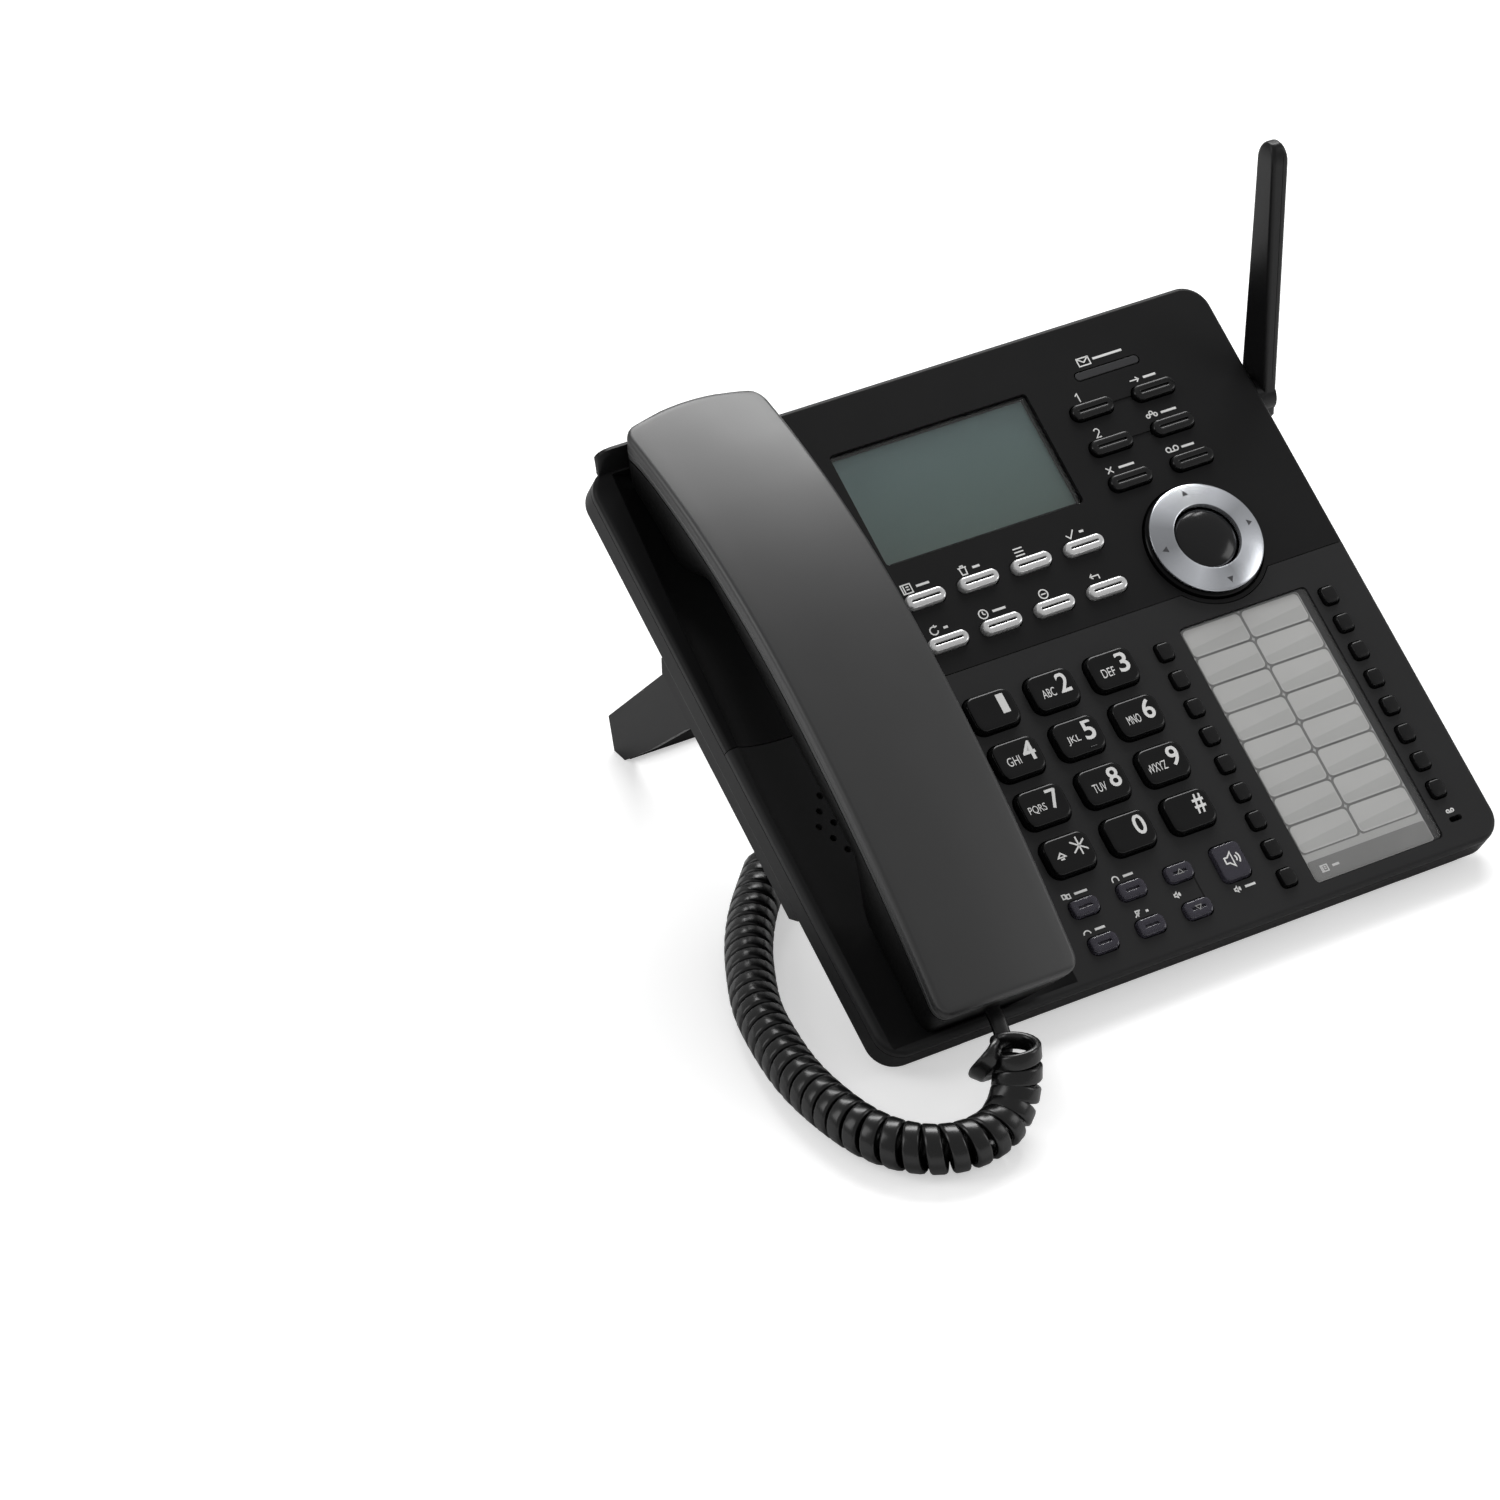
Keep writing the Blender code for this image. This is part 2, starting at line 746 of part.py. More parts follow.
def make_memory_keys(name, places):
    """One moulded strip under the panel with a key head through each opening."""
    look = material("memory_key_plastic", key_black, 0.38)
    top = -panel_thickness - seam_gap
    x, first_y = places[0]
    last_y = places[-1][1]
    half = memory_width / 2 + memory_bar_width
    end = memory_length / 2 + key_flange_width
    strip = block((-half, last_y - first_y - end, top - key_flange), (half, end, top), key_flange_width)
    made = piece(name, mesh_of(strip, name), look, (x, first_y, 0.0))
    heads = [block((-memory_width / 2, y - first_y - memory_length / 2, top - key_flange / 2),
                   (memory_width / 2, y - first_y + memory_length / 2, memory_rise),
                   memory_corner, small_rounding, 1) for _, y in places]
    unite(made, tool(name + "_heads", merged(heads), (x, first_y, 0.0)))
    return made


def make_navigation():
    """The rocking carrier, the chrome ring on it and the domed button in the middle."""
    inner = nav_hub_radius + nav_hub_gap
    under = -panel_thickness - seam_gap
    skirt_look = material("navigation_skirt_plastic", key_black, 0.30)
    skirt = ((nav_skirt_radius, nav_skirt_top - small_rounding), (nav_skirt_radius, under), (inner, under),
             (inner, nav_ring_under - nav_seat_inner),
             (nav_ring_radius - small_rounding, nav_ring_under - nav_seat_outer),
             (nav_ring_radius, nav_skirt_top))
    place = (nav_x, nav_y, 0.0)
    turned("nav_rocker", skirt, skirt_look, place)
    ring_look = material("chrome_finish", chrome, 0.08, 1.0)
    ring = ((nav_ring_radius, nav_ring_edge), (nav_ring_radius, nav_ring_under), (inner, nav_ring_under),
            (inner, nav_ring_top - small_rounding), (inner + small_rounding / 2, nav_ring_top),
            (nav_ring_radius - small_rounding, nav_ring_edge + small_rounding))
    turned("nav_ring", ring, ring_look, place)
    button_look = material("gloss_black_plastic", key_black, 0.08)
    hub_shares = ((0.0, 1.0), (0.35, 0.96), (0.65, 0.86), (0.88, 0.68), (1.0, 0.45))
    dome = [(nav_hub_radius * across, nav_ring_top * rise) for across, rise in hub_shares]
    turned("nav_button", dome + [(nav_hub_radius, under), (0.0, under)], button_look, place)


# Display, lamp and memory list

def make_display():
    lens_look = material("display_lens_plastic", lens_clear, 0.06)
    lens = block((display_left, display_low, -display_recess - display_lens),
                 (display_right, display_high, -display_recess), display_corner)
    piece("display_lens", mesh_of(lens, "display_lens"), lens_look)
    module_look = material("display_module_glass", display_green, 0.25)
    top = -panel_thickness - seam_gap
    module = block((display_left - display_border, display_low - display_border, top - module_thickness),
                   (display_right + display_border, display_high + display_border, top))
    piece("display_module", mesh_of(module, "display_module"), module_look)
    lamp_look = material("lamp_plastic", lamp_grey, 0.40)
    lamp = key_mesh("message_lamp", lamp_look, lamp_width, lamp_length, capsule_corner(lamp_length),
                    display_recess / 10, small_rounding / 6)
    piece("message_lamp", lamp, lamp_look, (lamp_x, lamp_y, 0.0))


def make_memory_list():
    card_look = material("list_card_paper", card_grey, 0.60)
    card_low = -list_depth + seam_gap
    card = block((list_left + list_inset, list_low + list_inset, card_low),
                 (list_right - list_inset, list_high - list_inset, card_low + list_card), list_corner)
    piece("list_card", mesh_of(card, "list_card"), card_look)
    cover_look = material("list_cover_plastic", lens_clear, 0.08)
    cover_low = card_low + list_card + seam_gap
    cover = block((list_left, list_low, cover_low), (list_right, list_high, cover_low + list_cover),
                  list_corner)
    piece("list_cover", mesh_of(cover, "list_cover"), cover_look)


# Inside the housing

mat_top = -panel_thickness - mat_drop
board_top = mat_top - mat_thickness - seam_gap
board_under = board_top - board_thickness


def make_mat_and_board():
    right = panel_width - board_margin
    high = panel_length - board_margin
    mat_look = material("keypad_rubber", rubber_grey, 0.70)
    mat = block((board_left, board_margin, mat_top - mat_thickness), (right, high, mat_top), board_margin / 2)
    piece("keypad_mat", mesh_of(mat, "keypad_mat"), mat_look)
    board_look = material("board_laminate", board_green, 0.50)
    board = block((board_left, board_margin, board_under), (right, high, board_top), board_margin / 2)
    piece("main_board", mesh_of(board, "main_board"), board_look)


def make_loudspeaker():
    look = material("loudspeaker_parts", cone_brown, 0.60)
    top = -cradle_depth - cradle_wall - seam_gap
    cone_floor = top - loudspeaker_cone_depth
    low = top - loudspeaker_height
    profile = ((0.0, cone_floor), (loudspeaker_cone_radius * 0.4, cone_floor), (loudspeaker_cone_radius, top),
               (loudspeaker_radius, top), (loudspeaker_radius, top - loudspeaker_cone_depth / 2),
               (loudspeaker_cone_radius * 0.8, low), (0.0, low))
    turned("loudspeaker", profile, look, (handset_x, grille_y, 0.0), 28)


def make_bottom_case():
    look = material("bottom_case_plastic", lower_black, 0.55)
    top = -panel_thickness - seam_gap
    shell = block((0.0, 0.0, -case_depth), (panel_width, panel_length, top), panel_corner,
                  corner_steps=5, under=panel_rounding)
    made = piece("bottom_case", mesh_of(shell, "bottom_case"), look)
    chamfer = belly_chamfer
    belly = prism(((belly_front, -case_depth + overrun), (belly_front, -case_depth),
                   (belly_front + chamfer, -belly_depth), (belly_back - chamfer, -belly_depth),
                   (belly_back, -case_depth), (belly_back, -case_depth + overrun)),
                  seam_gap, panel_width - seam_gap)
    unite(made, tool("case_belly", belly))
    for skirt in front_skirts():
        unite(made, skirt)
    hollow = block((case_wall, case_wall, -case_depth + case_floor),
                   (panel_width - case_wall, panel_length - case_wall, overrun), panel_corner - case_wall,
                   corner_steps=5)
    subtract(made, tool("case_hollow", hollow))
    inner_front = belly_front + chamfer + case_wall
    inner_back = belly_back - chamfer - case_wall
    deep = block((case_wall * 2, inner_front, -belly_depth + case_floor),
                 (panel_width - case_wall * 2, inner_back, -case_depth + case_floor + overrun))
    subtract(made, tool("belly_hollow", deep))
    bosses = [disc(x, y, boss_radius, -case_depth + case_floor - case_floor / 2, board_under - seam_gap, 16)
              for x in (board_left + boss_inset, panel_width - board_margin - boss_inset)
              for y in (board_margin + boss_inset, panel_length - board_margin - boss_inset)]
    unite(made, tool("board_bosses", merged(bosses)))
    ports = [inlet_cutter(plug_x), inlet_cutter(line_inlet_x), inlet_cutter(power_inlet_x),
             cross_disc(panel_width - case_wall * 2, panel_width + overrun, antenna_y, -antenna_depth,
                        antenna_pin + seam_gap, 20)]
    subtract(made, tool("case_ports", merged(ports)))
    return made


def inlet_cutter(x):
    """The square hole of a modular jack in the belly."""
    half_x = plug_width / 2 + seam_gap
    half_y = plug_length / 2 + seam_gap
    return block((x - half_x, plug_y - half_y, -belly_depth - overrun),
                 (x + half_x, plug_y + half_y, -belly_depth + case_floor + overrun))


def to_panel(y, z):
    """A point over the table, as its (y, z) in the panel frame."""
    up = z - panel_lift
    return (y * math.cos(panel_tilt) + up * math.sin(panel_tilt),
            -y * math.sin(panel_tilt) + up * math.cos(panel_tilt))


def to_table(y, z):
    """A point of the panel frame, as its (y, z) over the table."""
    return (y * math.cos(panel_tilt) - z * math.sin(panel_tilt),
            panel_lift + y * math.sin(panel_tilt) + z * math.cos(panel_tilt))


def front_skirts():
    """Two wedges under the front edge, flat underneath in the level of the table."""
    level = foot_thickness + seam_gap
    front = panel_rounding / 2
    drop = (panel_lift - level + front * math.sin(panel_tilt)) / math.cos(panel_tilt)
    start_y, _ = to_table(front, -drop)
    back = to_panel(start_y + skirt_length, level)
    outline = ((front, -case_depth + overrun), (front, -drop), back,
               (back[0] + skirt_length / 2, -case_depth), (back[0] + skirt_length / 2, -case_depth + overrun))
    spans = ((left_skirt_start, left_skirt_end), (right_skirt_start, right_skirt_end))
    return [tool("front_skirt_" + side, prism(outline, low, high)) for side, (low, high) in
            zip(("left", "right"), spans)]


def make_front_feet():
    look = material("foot_rubber", rubber_grey, 0.80)
    level = foot_thickness + seam_gap
    front = panel_rounding / 2
    drop = (panel_lift - level + front * math.sin(panel_tilt)) / math.cos(panel_tilt)
    start_y, _ = to_table(front, -drop)
    right_start = right_skirt_end - foot_margin - foot_length
    for side, x in (("left", left_skirt_start + foot_margin), ("right", right_start)):
        foot = block((x, start_y + foot_margin, 0.0), (x + foot_length, start_y + skirt_length - foot_margin,
                                                       foot_thickness), foot_margin, under=foot_margin / 4)
        piece("front_foot_" + side, mesh_of(foot, "front_foot"), look, parent=base_frame)


def make_desk_stand():
    """Two slanted arms under the belly, joined by the plate that clips to it and by the rear bar."""
    look = material("stand_plastic", lower_black, 0.50)
    top = -belly_depth - seam_gap
    low = top - stand_plate
    back = belly_back + stand_wall
    heel_top = (stand_heel_y + stand_heel_back, stand_heel_height)
    under_case = -case_depth - seam_gap
    arm = (to_table(stand_front, top), to_table(belly_back - belly_chamfer, top),
           to_table(belly_back + seam_gap * 2, under_case), to_table(belly_back + belly_chamfer, under_case),
           heel_top, (stand_heel_y, 0.0), (stand_toe_y, 0.0), (stand_knee_y, stand_knee_height),
           (stand_shank_y, stand_shank_height))
    right = panel_width - stand_side
    spans = ((stand_side, stand_side + stand_wall), (right - stand_wall, right))
    first = prism(arm, *spans[0])
    made = piece("desk_stand", mesh_of(first, "desk_stand"), look, parent=base_frame)
    unite(made, tool("stand_arm", prism(arm, *spans[1]), parent=base_frame))
    plate_top = top - seam_gap / 2
    plate_front = stand_front - stand_plate_lap
    plate_back = back - belly_chamfer * 2
    plate_outline = [to_table(y, z) for y, z in ((plate_front, plate_top), (plate_back, plate_top),
                                                 (plate_back, low), (plate_front, low))]
    unite(made, tool("stand_plate", prism(plate_outline, stand_side + stand_wall / 2, right - stand_wall / 2),
                     parent=base_frame))
    bar = ((stand_heel_y - stand_bar_depth, seam_gap), (stand_heel_y - seam_gap, seam_gap),
           (heel_top[0] - stand_wall / 3, stand_heel_height - stand_wall / 3),
           (stand_heel_y - stand_wall, stand_heel_height - stand_wall / 3),
           (stand_heel_y - stand_bar_depth, stand_wall))
    unite(made, tool("stand_bar", prism(bar, stand_side + stand_wall / 2, right - stand_wall / 2),
                     parent=base_frame))
    return made


# Antenna

def make_antenna():
    """A flat blade that stands upright beside the housing and folds about a pin in its right wall."""
    look = material("antenna_plastic", upper_black, 0.40)
    y, z = to_table(antenna_y, -antenna_depth)
    pivot = empty("antenna_pivot", base_frame, (panel_width, y, z))
    left = antenna_gap
    right = antenna_gap + antenna_thickness
    edge = antenna_edge

    def ring(height, back, side_cut, inset):
        front = -antenna_front + inset
        rear = back - inset
        x_low = left + inset / 2
        x_high = right - inset / 2
        return [(x_low, front + edge, height), (x_low + side_cut, front, height),
                (x_high - side_cut / 2, front, height), (x_high, front + edge / 2, height),
                (x_high, rear - edge, height), (x_high - edge, rear, height),
                (x_low + edge, rear, height), (x_low, rear - edge, height)]

    foot = -antenna_knuckle / 2
    tip = antenna_height
    tip_shares = ((0.94, 0.0), (0.975, 0.22), (0.992, 0.55), (1.0, 1.1))
    sections = [ring(foot, antenna_back_low, edge * 1.8, 0.0)]
    sections += [ring(tip * share, antenna_back_high, edge, edge * shrink) for share, shrink in tip_shares]
    made = piece("antenna", mesh_of(loft(sections), "antenna"), look, parent=pivot)
    knuckle = cross_disc(key_gap, right - edge / 2, 0.0, 0.0, antenna_knuckle, 28)
    unite(made, tool("antenna_knuckle", knuckle, parent=pivot))
    pin = cross_disc(-case_wall - antenna_pin * 2, left + edge, 0.0, 0.0, antenna_pin)
    unite(made, tool("antenna_pin", pin, parent=pivot))
    return made


# Handset

def handset_top(s):
    """Height of the handset's outer face over the panel at s along it."""
    share = 2 * s / handset_length - 1
    end = handset_end_height if share < 0 else handset_high_end_height
    return handset_middle_height - (handset_middle_height - end) * share * share


def end_loss(s, radius):
    """How far a rounded end of that radius draws in at s along the handset."""
    distance = min(s, handset_length - s)
    if distance >= radius:
        return 0.0
    return radius - math.sqrt(max(radius * radius - (radius - distance) ** 2, 0.0))


def end_lean(s, x, z):
    """How far a sloping or bowed end has drawn in at x across the handset, at a height z and s along it."""
    low = s < handset_length / 2
    taper = handset_low_taper if low else -handset_high_taper
    end = handset_end_height if low else handset_high_end_height
    bend = 0.0 if low else handset_high_bend_share
    bow = 0.0 if low else -handset_bow * (2 * x / handset_width) ** 2
    fade = max(1 - min(s, handset_length - s) / handset_pad_length, 0.0)
    drop = max((end - z) / (end + cradle_depth), 0.0)
    return fade * (taper * drop * (1 + bend * (1 - drop)) + bow)


def cover_ring(s, inset, floor):
    """One cross-section of the handset's outer cover, down to a floor below its seam."""
    half = handset_width / 2 - end_loss(s, handset_corner) * 0.8 - inset
    top = handset_top(s) - end_loss(s, handset_edge) - inset
    seam = handset_top(s) - handset_band - floor
    edge = handset_edge
    side_shares = ((1.0, 1.0), (0.92, 0.62), (0.55, 0.14), (0.0, 0.0))
    left = [(-half + edge * (1 - across), top - edge * down) for across, down in side_shares]
    side_top = top + handset_crown * 0.75
    crown = [(-half * 0.45, side_top), (0.0, top + handset_crown), (half * 0.45, side_top)]
    right = [(-x, z) for x, z in reversed(left)]
    outline = [(-half, seam)] + left + crown + right + [(half, seam)]
    return [(handset_x + x, handset_start + s + end_lean(s, x, z), z) for x, z in outline]


def handset_under(s):
    """Height of the handset's under face at s along it: low pads at both ends, an arch between."""
    rest = -cradle_depth + seam_gap
    ramp = handset_pad_length * 0.45
    inward = min(s, handset_length - s)
    share = min(max((inward - handset_pad_length) / ramp, 0.0), 1.0)
    smooth = share * share * (3 - 2 * share)
    return rest + (handset_arch_height - rest) * smooth


def body_ring(s, inset, lid):
    """One cross-section of the handset's inner body, from its seam down to its under face."""
    seam = handset_top(s) - handset_band - seam_gap + lid
    under = handset_under(s) + inset
    half = handset_width / 2 - end_loss(s, handset_corner) * 0.8 - inset
    inward = min(s, handset_length - s)
    arch = min(max((inward - handset_pad_length) / handset_pad_length, 0.0), 1.0)
    foot = (handset_pad_width + (handset_arch_width - handset_pad_width) * arch) / 2 - inset / 2
    depth = seam - under
    low_share = max(1 - inward / handset_corner, 0.0)
    foot -= low_share * handset_edge
    side_shares = ((1.0, 0.0), (0.99, 0.25), (0.92, 0.60), (0.66, 0.86), (0.30, 0.965), (0.0, 1.0))
    left = [(-foot - (half - foot) * across, seam - depth * down) for across, down in side_shares]
    right = [(-x, z) for x, z in reversed(left)]
    return [(handset_x + x, handset_start + s + end_lean(s, x, z), z) for x, z in left + right]


def stations(inset):
    """Places along the handset for its cross-sections, closer together where its ends are rounded."""
    end_shares = (0.0, 0.05, 0.20, 0.50, 1.0)
    ends = [inset + handset_corner * share for share in end_shares]
    pad = handset_pad_length
    middle = [pad * 0.6, pad, pad * 1.15, pad * 1.3, pad * 1.45]
    half = ends + middle
    return half + [handset_length / 2] + [handset_length - s for s in reversed(half)]


def capsule_holes(y):
    angles = [math.radians(60 * i) for i in range(6)]
    places = [(0.0, 0.0)] + [(hole_pitch * math.cos(angle), hole_pitch * math.sin(angle)) for angle in angles]
    low = -cradle_depth - overrun
    return [disc(handset_x + x, y + dy, hole_radius, low, low + overrun * 2 + handset_wall * 2, 6)
            for x, dy in places]


receiver_y = handset_start + handset_length - handset_pad_length * capsule_place_share
microphone_y = handset_start + handset_pad_length * capsule_place_share


def make_handset():
    look = material("handset_plastic", handset_black, 0.45)
    outer = loft([cover_ring(s, 0.0, 0.0) for s in stations(0.0)])
    cover = piece("handset_cover", mesh_of(outer, "handset_cover"), look)
    inner = loft([cover_ring(s, handset_wall, handset_band) for s in stations(handset_wall)])
    subtract(cover, tool("cover_hollow", inner))
    outer_body = loft([body_ring(s, 0.0, 0.0) for s in stations(0.0)])
    body = piece("handset_body", mesh_of(outer_body, "handset_body"), look)
    inner_body = loft([body_ring(s, handset_wall, handset_band) for s in stations(handset_wall * 2)])
    subtract(body, tool("body_hollow", inner_body))
    subtract(body, tool("capsule_holes", merged(capsule_holes(receiver_y) + capsule_holes(microphone_y))))
    capsule_look = material("capsule_steel", steel, 0.35, 0.8)
    low = -cradle_depth + seam_gap * 2 + handset_wall
    for name, y in (("handset_receiver", receiver_y), ("handset_microphone", microphone_y)):
        capsule = disc(0.0, 0.0, capsule_radius, low, low + capsule_height, 24)
        piece(name, mesh_of(capsule, name), capsule_look, (handset_x, y, 0.0))


def make_hook_switch():
    look = material("hook_plastic", key_black, 0.40)
    low = -case_depth + case_floor + seam_gap
    plunger = block((-hook_width / 2, -hook_length / 2, low),
                    (hook_width / 2, hook_length / 2, -cradle_depth), small_rounding, small_rounding / 2)
    piece("hook_switch", mesh_of(plunger, "hook_switch"), look, (handset_x, hook_y, 0.0))


# Curly cord, its route over the table: x from the left wall, y from the front edge, z over the table

lead_route = [(0.0320, -0.0105, 0.0112), (0.0260, -0.0165, 0.0105), (0.0175, -0.0200, 0.0120),
              (0.0130, -0.0255, 0.0180), (0.0145, -0.0290, 0.0245)]
coil_route = [(0.0240, -0.0275, 0.0260), (0.0236, -0.0295, 0.0200), (0.0215, -0.0323, 0.0135),
              (0.0175, -0.0352, 0.0094), (0.0120, -0.0383, 0.0078),
              (0.0028, -0.0402, 0.0075), (-0.0065, -0.0383, 0.0075), (-0.0145, -0.0320, 0.0075),
              (-0.0200, -0.0219, 0.0075), (-0.0226, -0.0079, 0.0075), (-0.0230, 0.0099, 0.0075),
              (-0.0203, 0.0276, 0.0075), (-0.0158, 0.0446, 0.0075), (-0.0086, 0.0601, 0.0075),
              (-0.0013, 0.0730, 0.0075), (0.0075, 0.0852, 0.0075), (0.0161, 0.0948, 0.0075),
              (0.0240, 0.1030, 0.0080)]
tail_route = [(0.0310, 0.1110, 0.0110), (0.0332, 0.1105, 0.0170), (0.0330, 0.1040, 0.0255)]


def smooth_points(route, per_span):
    """Points on one smooth curve through the points of a route."""
    points = [Vector(p) for p in route]
    padded = [points[0] * 2 - points[1]] + points + [points[-1] * 2 - points[-2]]
    curve = []
    for i in range(len(points) - 1):
        a, b, c, d = padded[i:i + 4]
        for j in range(per_span):
            t = j / per_span
            curve.append(0.5 * (2 * b + (c - a) * t + (2 * a - 5 * b + 4 * c - d) * t * t
                                + (3 * b - a - 3 * c + d) * t ** 3))
    return curve + [points[-1]]


def even_points(curve, step):
    """Points a fixed step apart along a curve, ends included."""
    total = sum((b - a).length for a, b in zip(curve, curve[1:]))
    count = max(round(total / step), 1)
    step = total / count
    result = [curve[0]]
    travelled = 0.0
    for a, b in zip(curve, curve[1:]):
        length = (b - a).length
        while travelled + length >= step * len(result) and len(result) < count:
            result.append(a.lerp(b, (step * len(result) - travelled) / length))
        travelled += length
    return result + [curve[-1]]


def settled(points, reach):
    """A curve with each point moved to the middle of its neighbours on both sides; the ends stay."""
    result = []
    for i in range(len(points)):
        near = min(reach, i, len(points) - 1 - i)
        span = points[i - near:i + near + 1]
        result.append(sum(span, Vector()) / len(span))
    return result


def bend_radius(points, i):
    """Radius of the curve through a point and its neighbours."""
    into = points[i] - points[i - 1]
    onward = points[i + 1] - points[i]
    turn = into.angle(onward)
    return into.length / turn if turn > 0 else math.inf


def coil_axis(route, pitch, per_turn, radius):
    """Points along a route, further apart where it bends so that the inside of the turns keeps its gap."""
    step = pitch / per_turn / 20
    fine = settled(settled(even_points(smooth_points(route, 24), step), 110), 110)
    fine = even_points(fine, step)
    axis = [fine[0]]
    travelled = 0.0
    for i in range(1, len(fine) - 1):
        travelled += (fine[i] - fine[i - 1]).length
        near = min(bend_radius(fine, j) for j in range(max(i - 15, 1), min(i + 16, len(fine) - 1)))
        opened = (tube_radius * 2 + curl_gap) / (1 - radius / near)
        if travelled >= max(pitch, opened) / per_turn:
            axis.append(fine[i])
            travelled = 0.0
    return axis


def coil_points(route, radius, pitch, per_turn, start_angle):
    """The turns of a coil around a route, with a frame that is carried along without twist."""
    axis = coil_axis(route, pitch, per_turn, radius)
    side = Vector((1.0, 0.0, 0.0))
    points = []
    for i, centre in enumerate(axis):
        ahead = axis[min(i + 1, len(axis) - 1)]
        behind = axis[max(i - 1, 0)]
        tangent = (ahead - behind).normalized()
        side = (side - tangent * side.dot(tangent)).normalized()
        other = tangent.cross(side)
        angle = start_angle + 2 * math.pi * i / per_turn
        points.append(centre + (side * math.cos(angle) + other * math.sin(angle)) * radius)
    return points


def least_gap(points, diameter, reach):
    """The least gap of a tube to its own other stretches, past a reach of points along it."""
    least = math.inf
    for i in range(len(points)):
        for j in range(i + reach, len(points)):
            least = min(least, (points[i] - points[j]).length)
    return least - diameter


def cord_exit():
    """Where the cord leaves the handset's lower end, and the way it leaves, over the table."""
    height = cradle_depth - seam_gap
    y = handset_start + end_lean(0.0, 0.0, height)
    way_y = -math.cos(panel_tilt)
    way_z = -math.sin(panel_tilt)
    table_y, table_z = to_table(y, height)
    return Vector((handset_x, table_y, table_z)), Vector((0.0, way_y, way_z))


def plug_end():
    """Where the cord enters its plug under the belly, and the way into it, over the table."""
    y, z = to_table(plug_y, -belly_depth - plug_height + plug_inside - seam_gap)
    return Vector((plug_x, y, z)), Vector((0.0, -math.sin(panel_tilt), math.cos(panel_tilt)))


def make_curly_cord():
    look = material("cord_plastic", key_black, 0.35)
    exit_point, exit_way = cord_exit()
    end_point, end_way = plug_end()
    turns = coil_points(coil_route, coil_radius - tube_radius, coil_pitch, curl_points, coil_start)
    start = exit_point + exit_way * seam_gap
    straight = tube_radius * 2.4
    lead = smooth_points([start + exit_way * straight] + lead_route + [turns[0]], 4)
    tail = smooth_points([turns[-1]] + tail_route + [end_point - end_way * straight], 4)
    points = [start] + lead[:-1] + turns + tail[1:] + [end_point]
    length = sum((b - a).length for a, b in zip(points, points[1:]))
    gap = least_gap(points, tube_radius * 2, curl_points // 2)
    print("curly cord:", len(turns) // curl_points, "curls, length", round(length, 4), "m, least gap",
          round(gap, 5))
    curve = bpy.data.curves.new("curly_cord", "CURVE")
    curve.dimensions = "3D"
    curve.bevel_depth = tube_radius
    curve.bevel_resolution = 1
    curve.use_fill_caps = True
    spline = curve.splines.new("POLY")
    spline.points.add(len(points) - 1)
    for target, point in zip(spline.points, points):
        target.co = (*point, 1.0)
    made = bpy.data.objects.new("curly_cord", curve)
    made.parent = base_frame
    curve.materials.append(look)
    phone.objects.link(made)


def make_cord_plug():
    look = material("plug_plastic", smoke, 0.20)
    high = -belly_depth + plug_inside
    plug = block((plug_x - plug_width / 2, plug_y - plug_length / 2, high - plug_height),
                 (plug_x + plug_width / 2, plug_y + plug_length / 2, high), small_rounding)
    piece("cord_plug", mesh_of(plug, "cord_plug"), look)


def stand_on_origin():
    """Moves the whole phone so that the middle of its box, without the cord, is over the origin."""
    bpy.context.view_layer.update()
    graph = bpy.context.evaluated_depsgraph_get()
    low = [math.inf, math.inf]
    high = [-math.inf, -math.inf]
    for item in phone.objects:
        if item.type != "MESH" or item.name == "cord_plug":
            continue
        whole = item.evaluated_get(graph)
        for vertex in whole.data.vertices:
            place = whole.matrix_world @ vertex.co
            for axis in range(2):
                low[axis] = min(low[axis], place[axis])
                high[axis] = max(high[axis], place[axis])
    base_frame.location = (-(low[0] + high[0]) / 2, -(low[1] + high[1]) / 2, 0.0)
    print("base frame at", [round(value, 6) for value in base_frame.location])


make_upper_panel()
make_lower_panel()
make_dial_keys()
make_soft_keys()
make_function_keys()
make_clear_keys()
make_memory_keys("memory_keys_left", memory_left_places)
make_memory_keys("memory_keys_right", memory_right_places)
make_navigation()
make_display()
make_memory_list()
make_mat_and_board()
make_loudspeaker()
make_bottom_case()
make_front_feet()
make_desk_stand()
make_antenna()
make_handset()
make_hook_switch()
make_curly_cord()
make_cord_plug()
stand_on_origin()
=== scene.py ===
"""The look of a desk telephone with a corded handset, a curly cord and a radio antenna."""
import math

import bmesh
import bpy
from bpy.props import FloatProperty, FloatVectorProperty, IntProperty, PointerProperty
from mathutils import Matrix, Vector


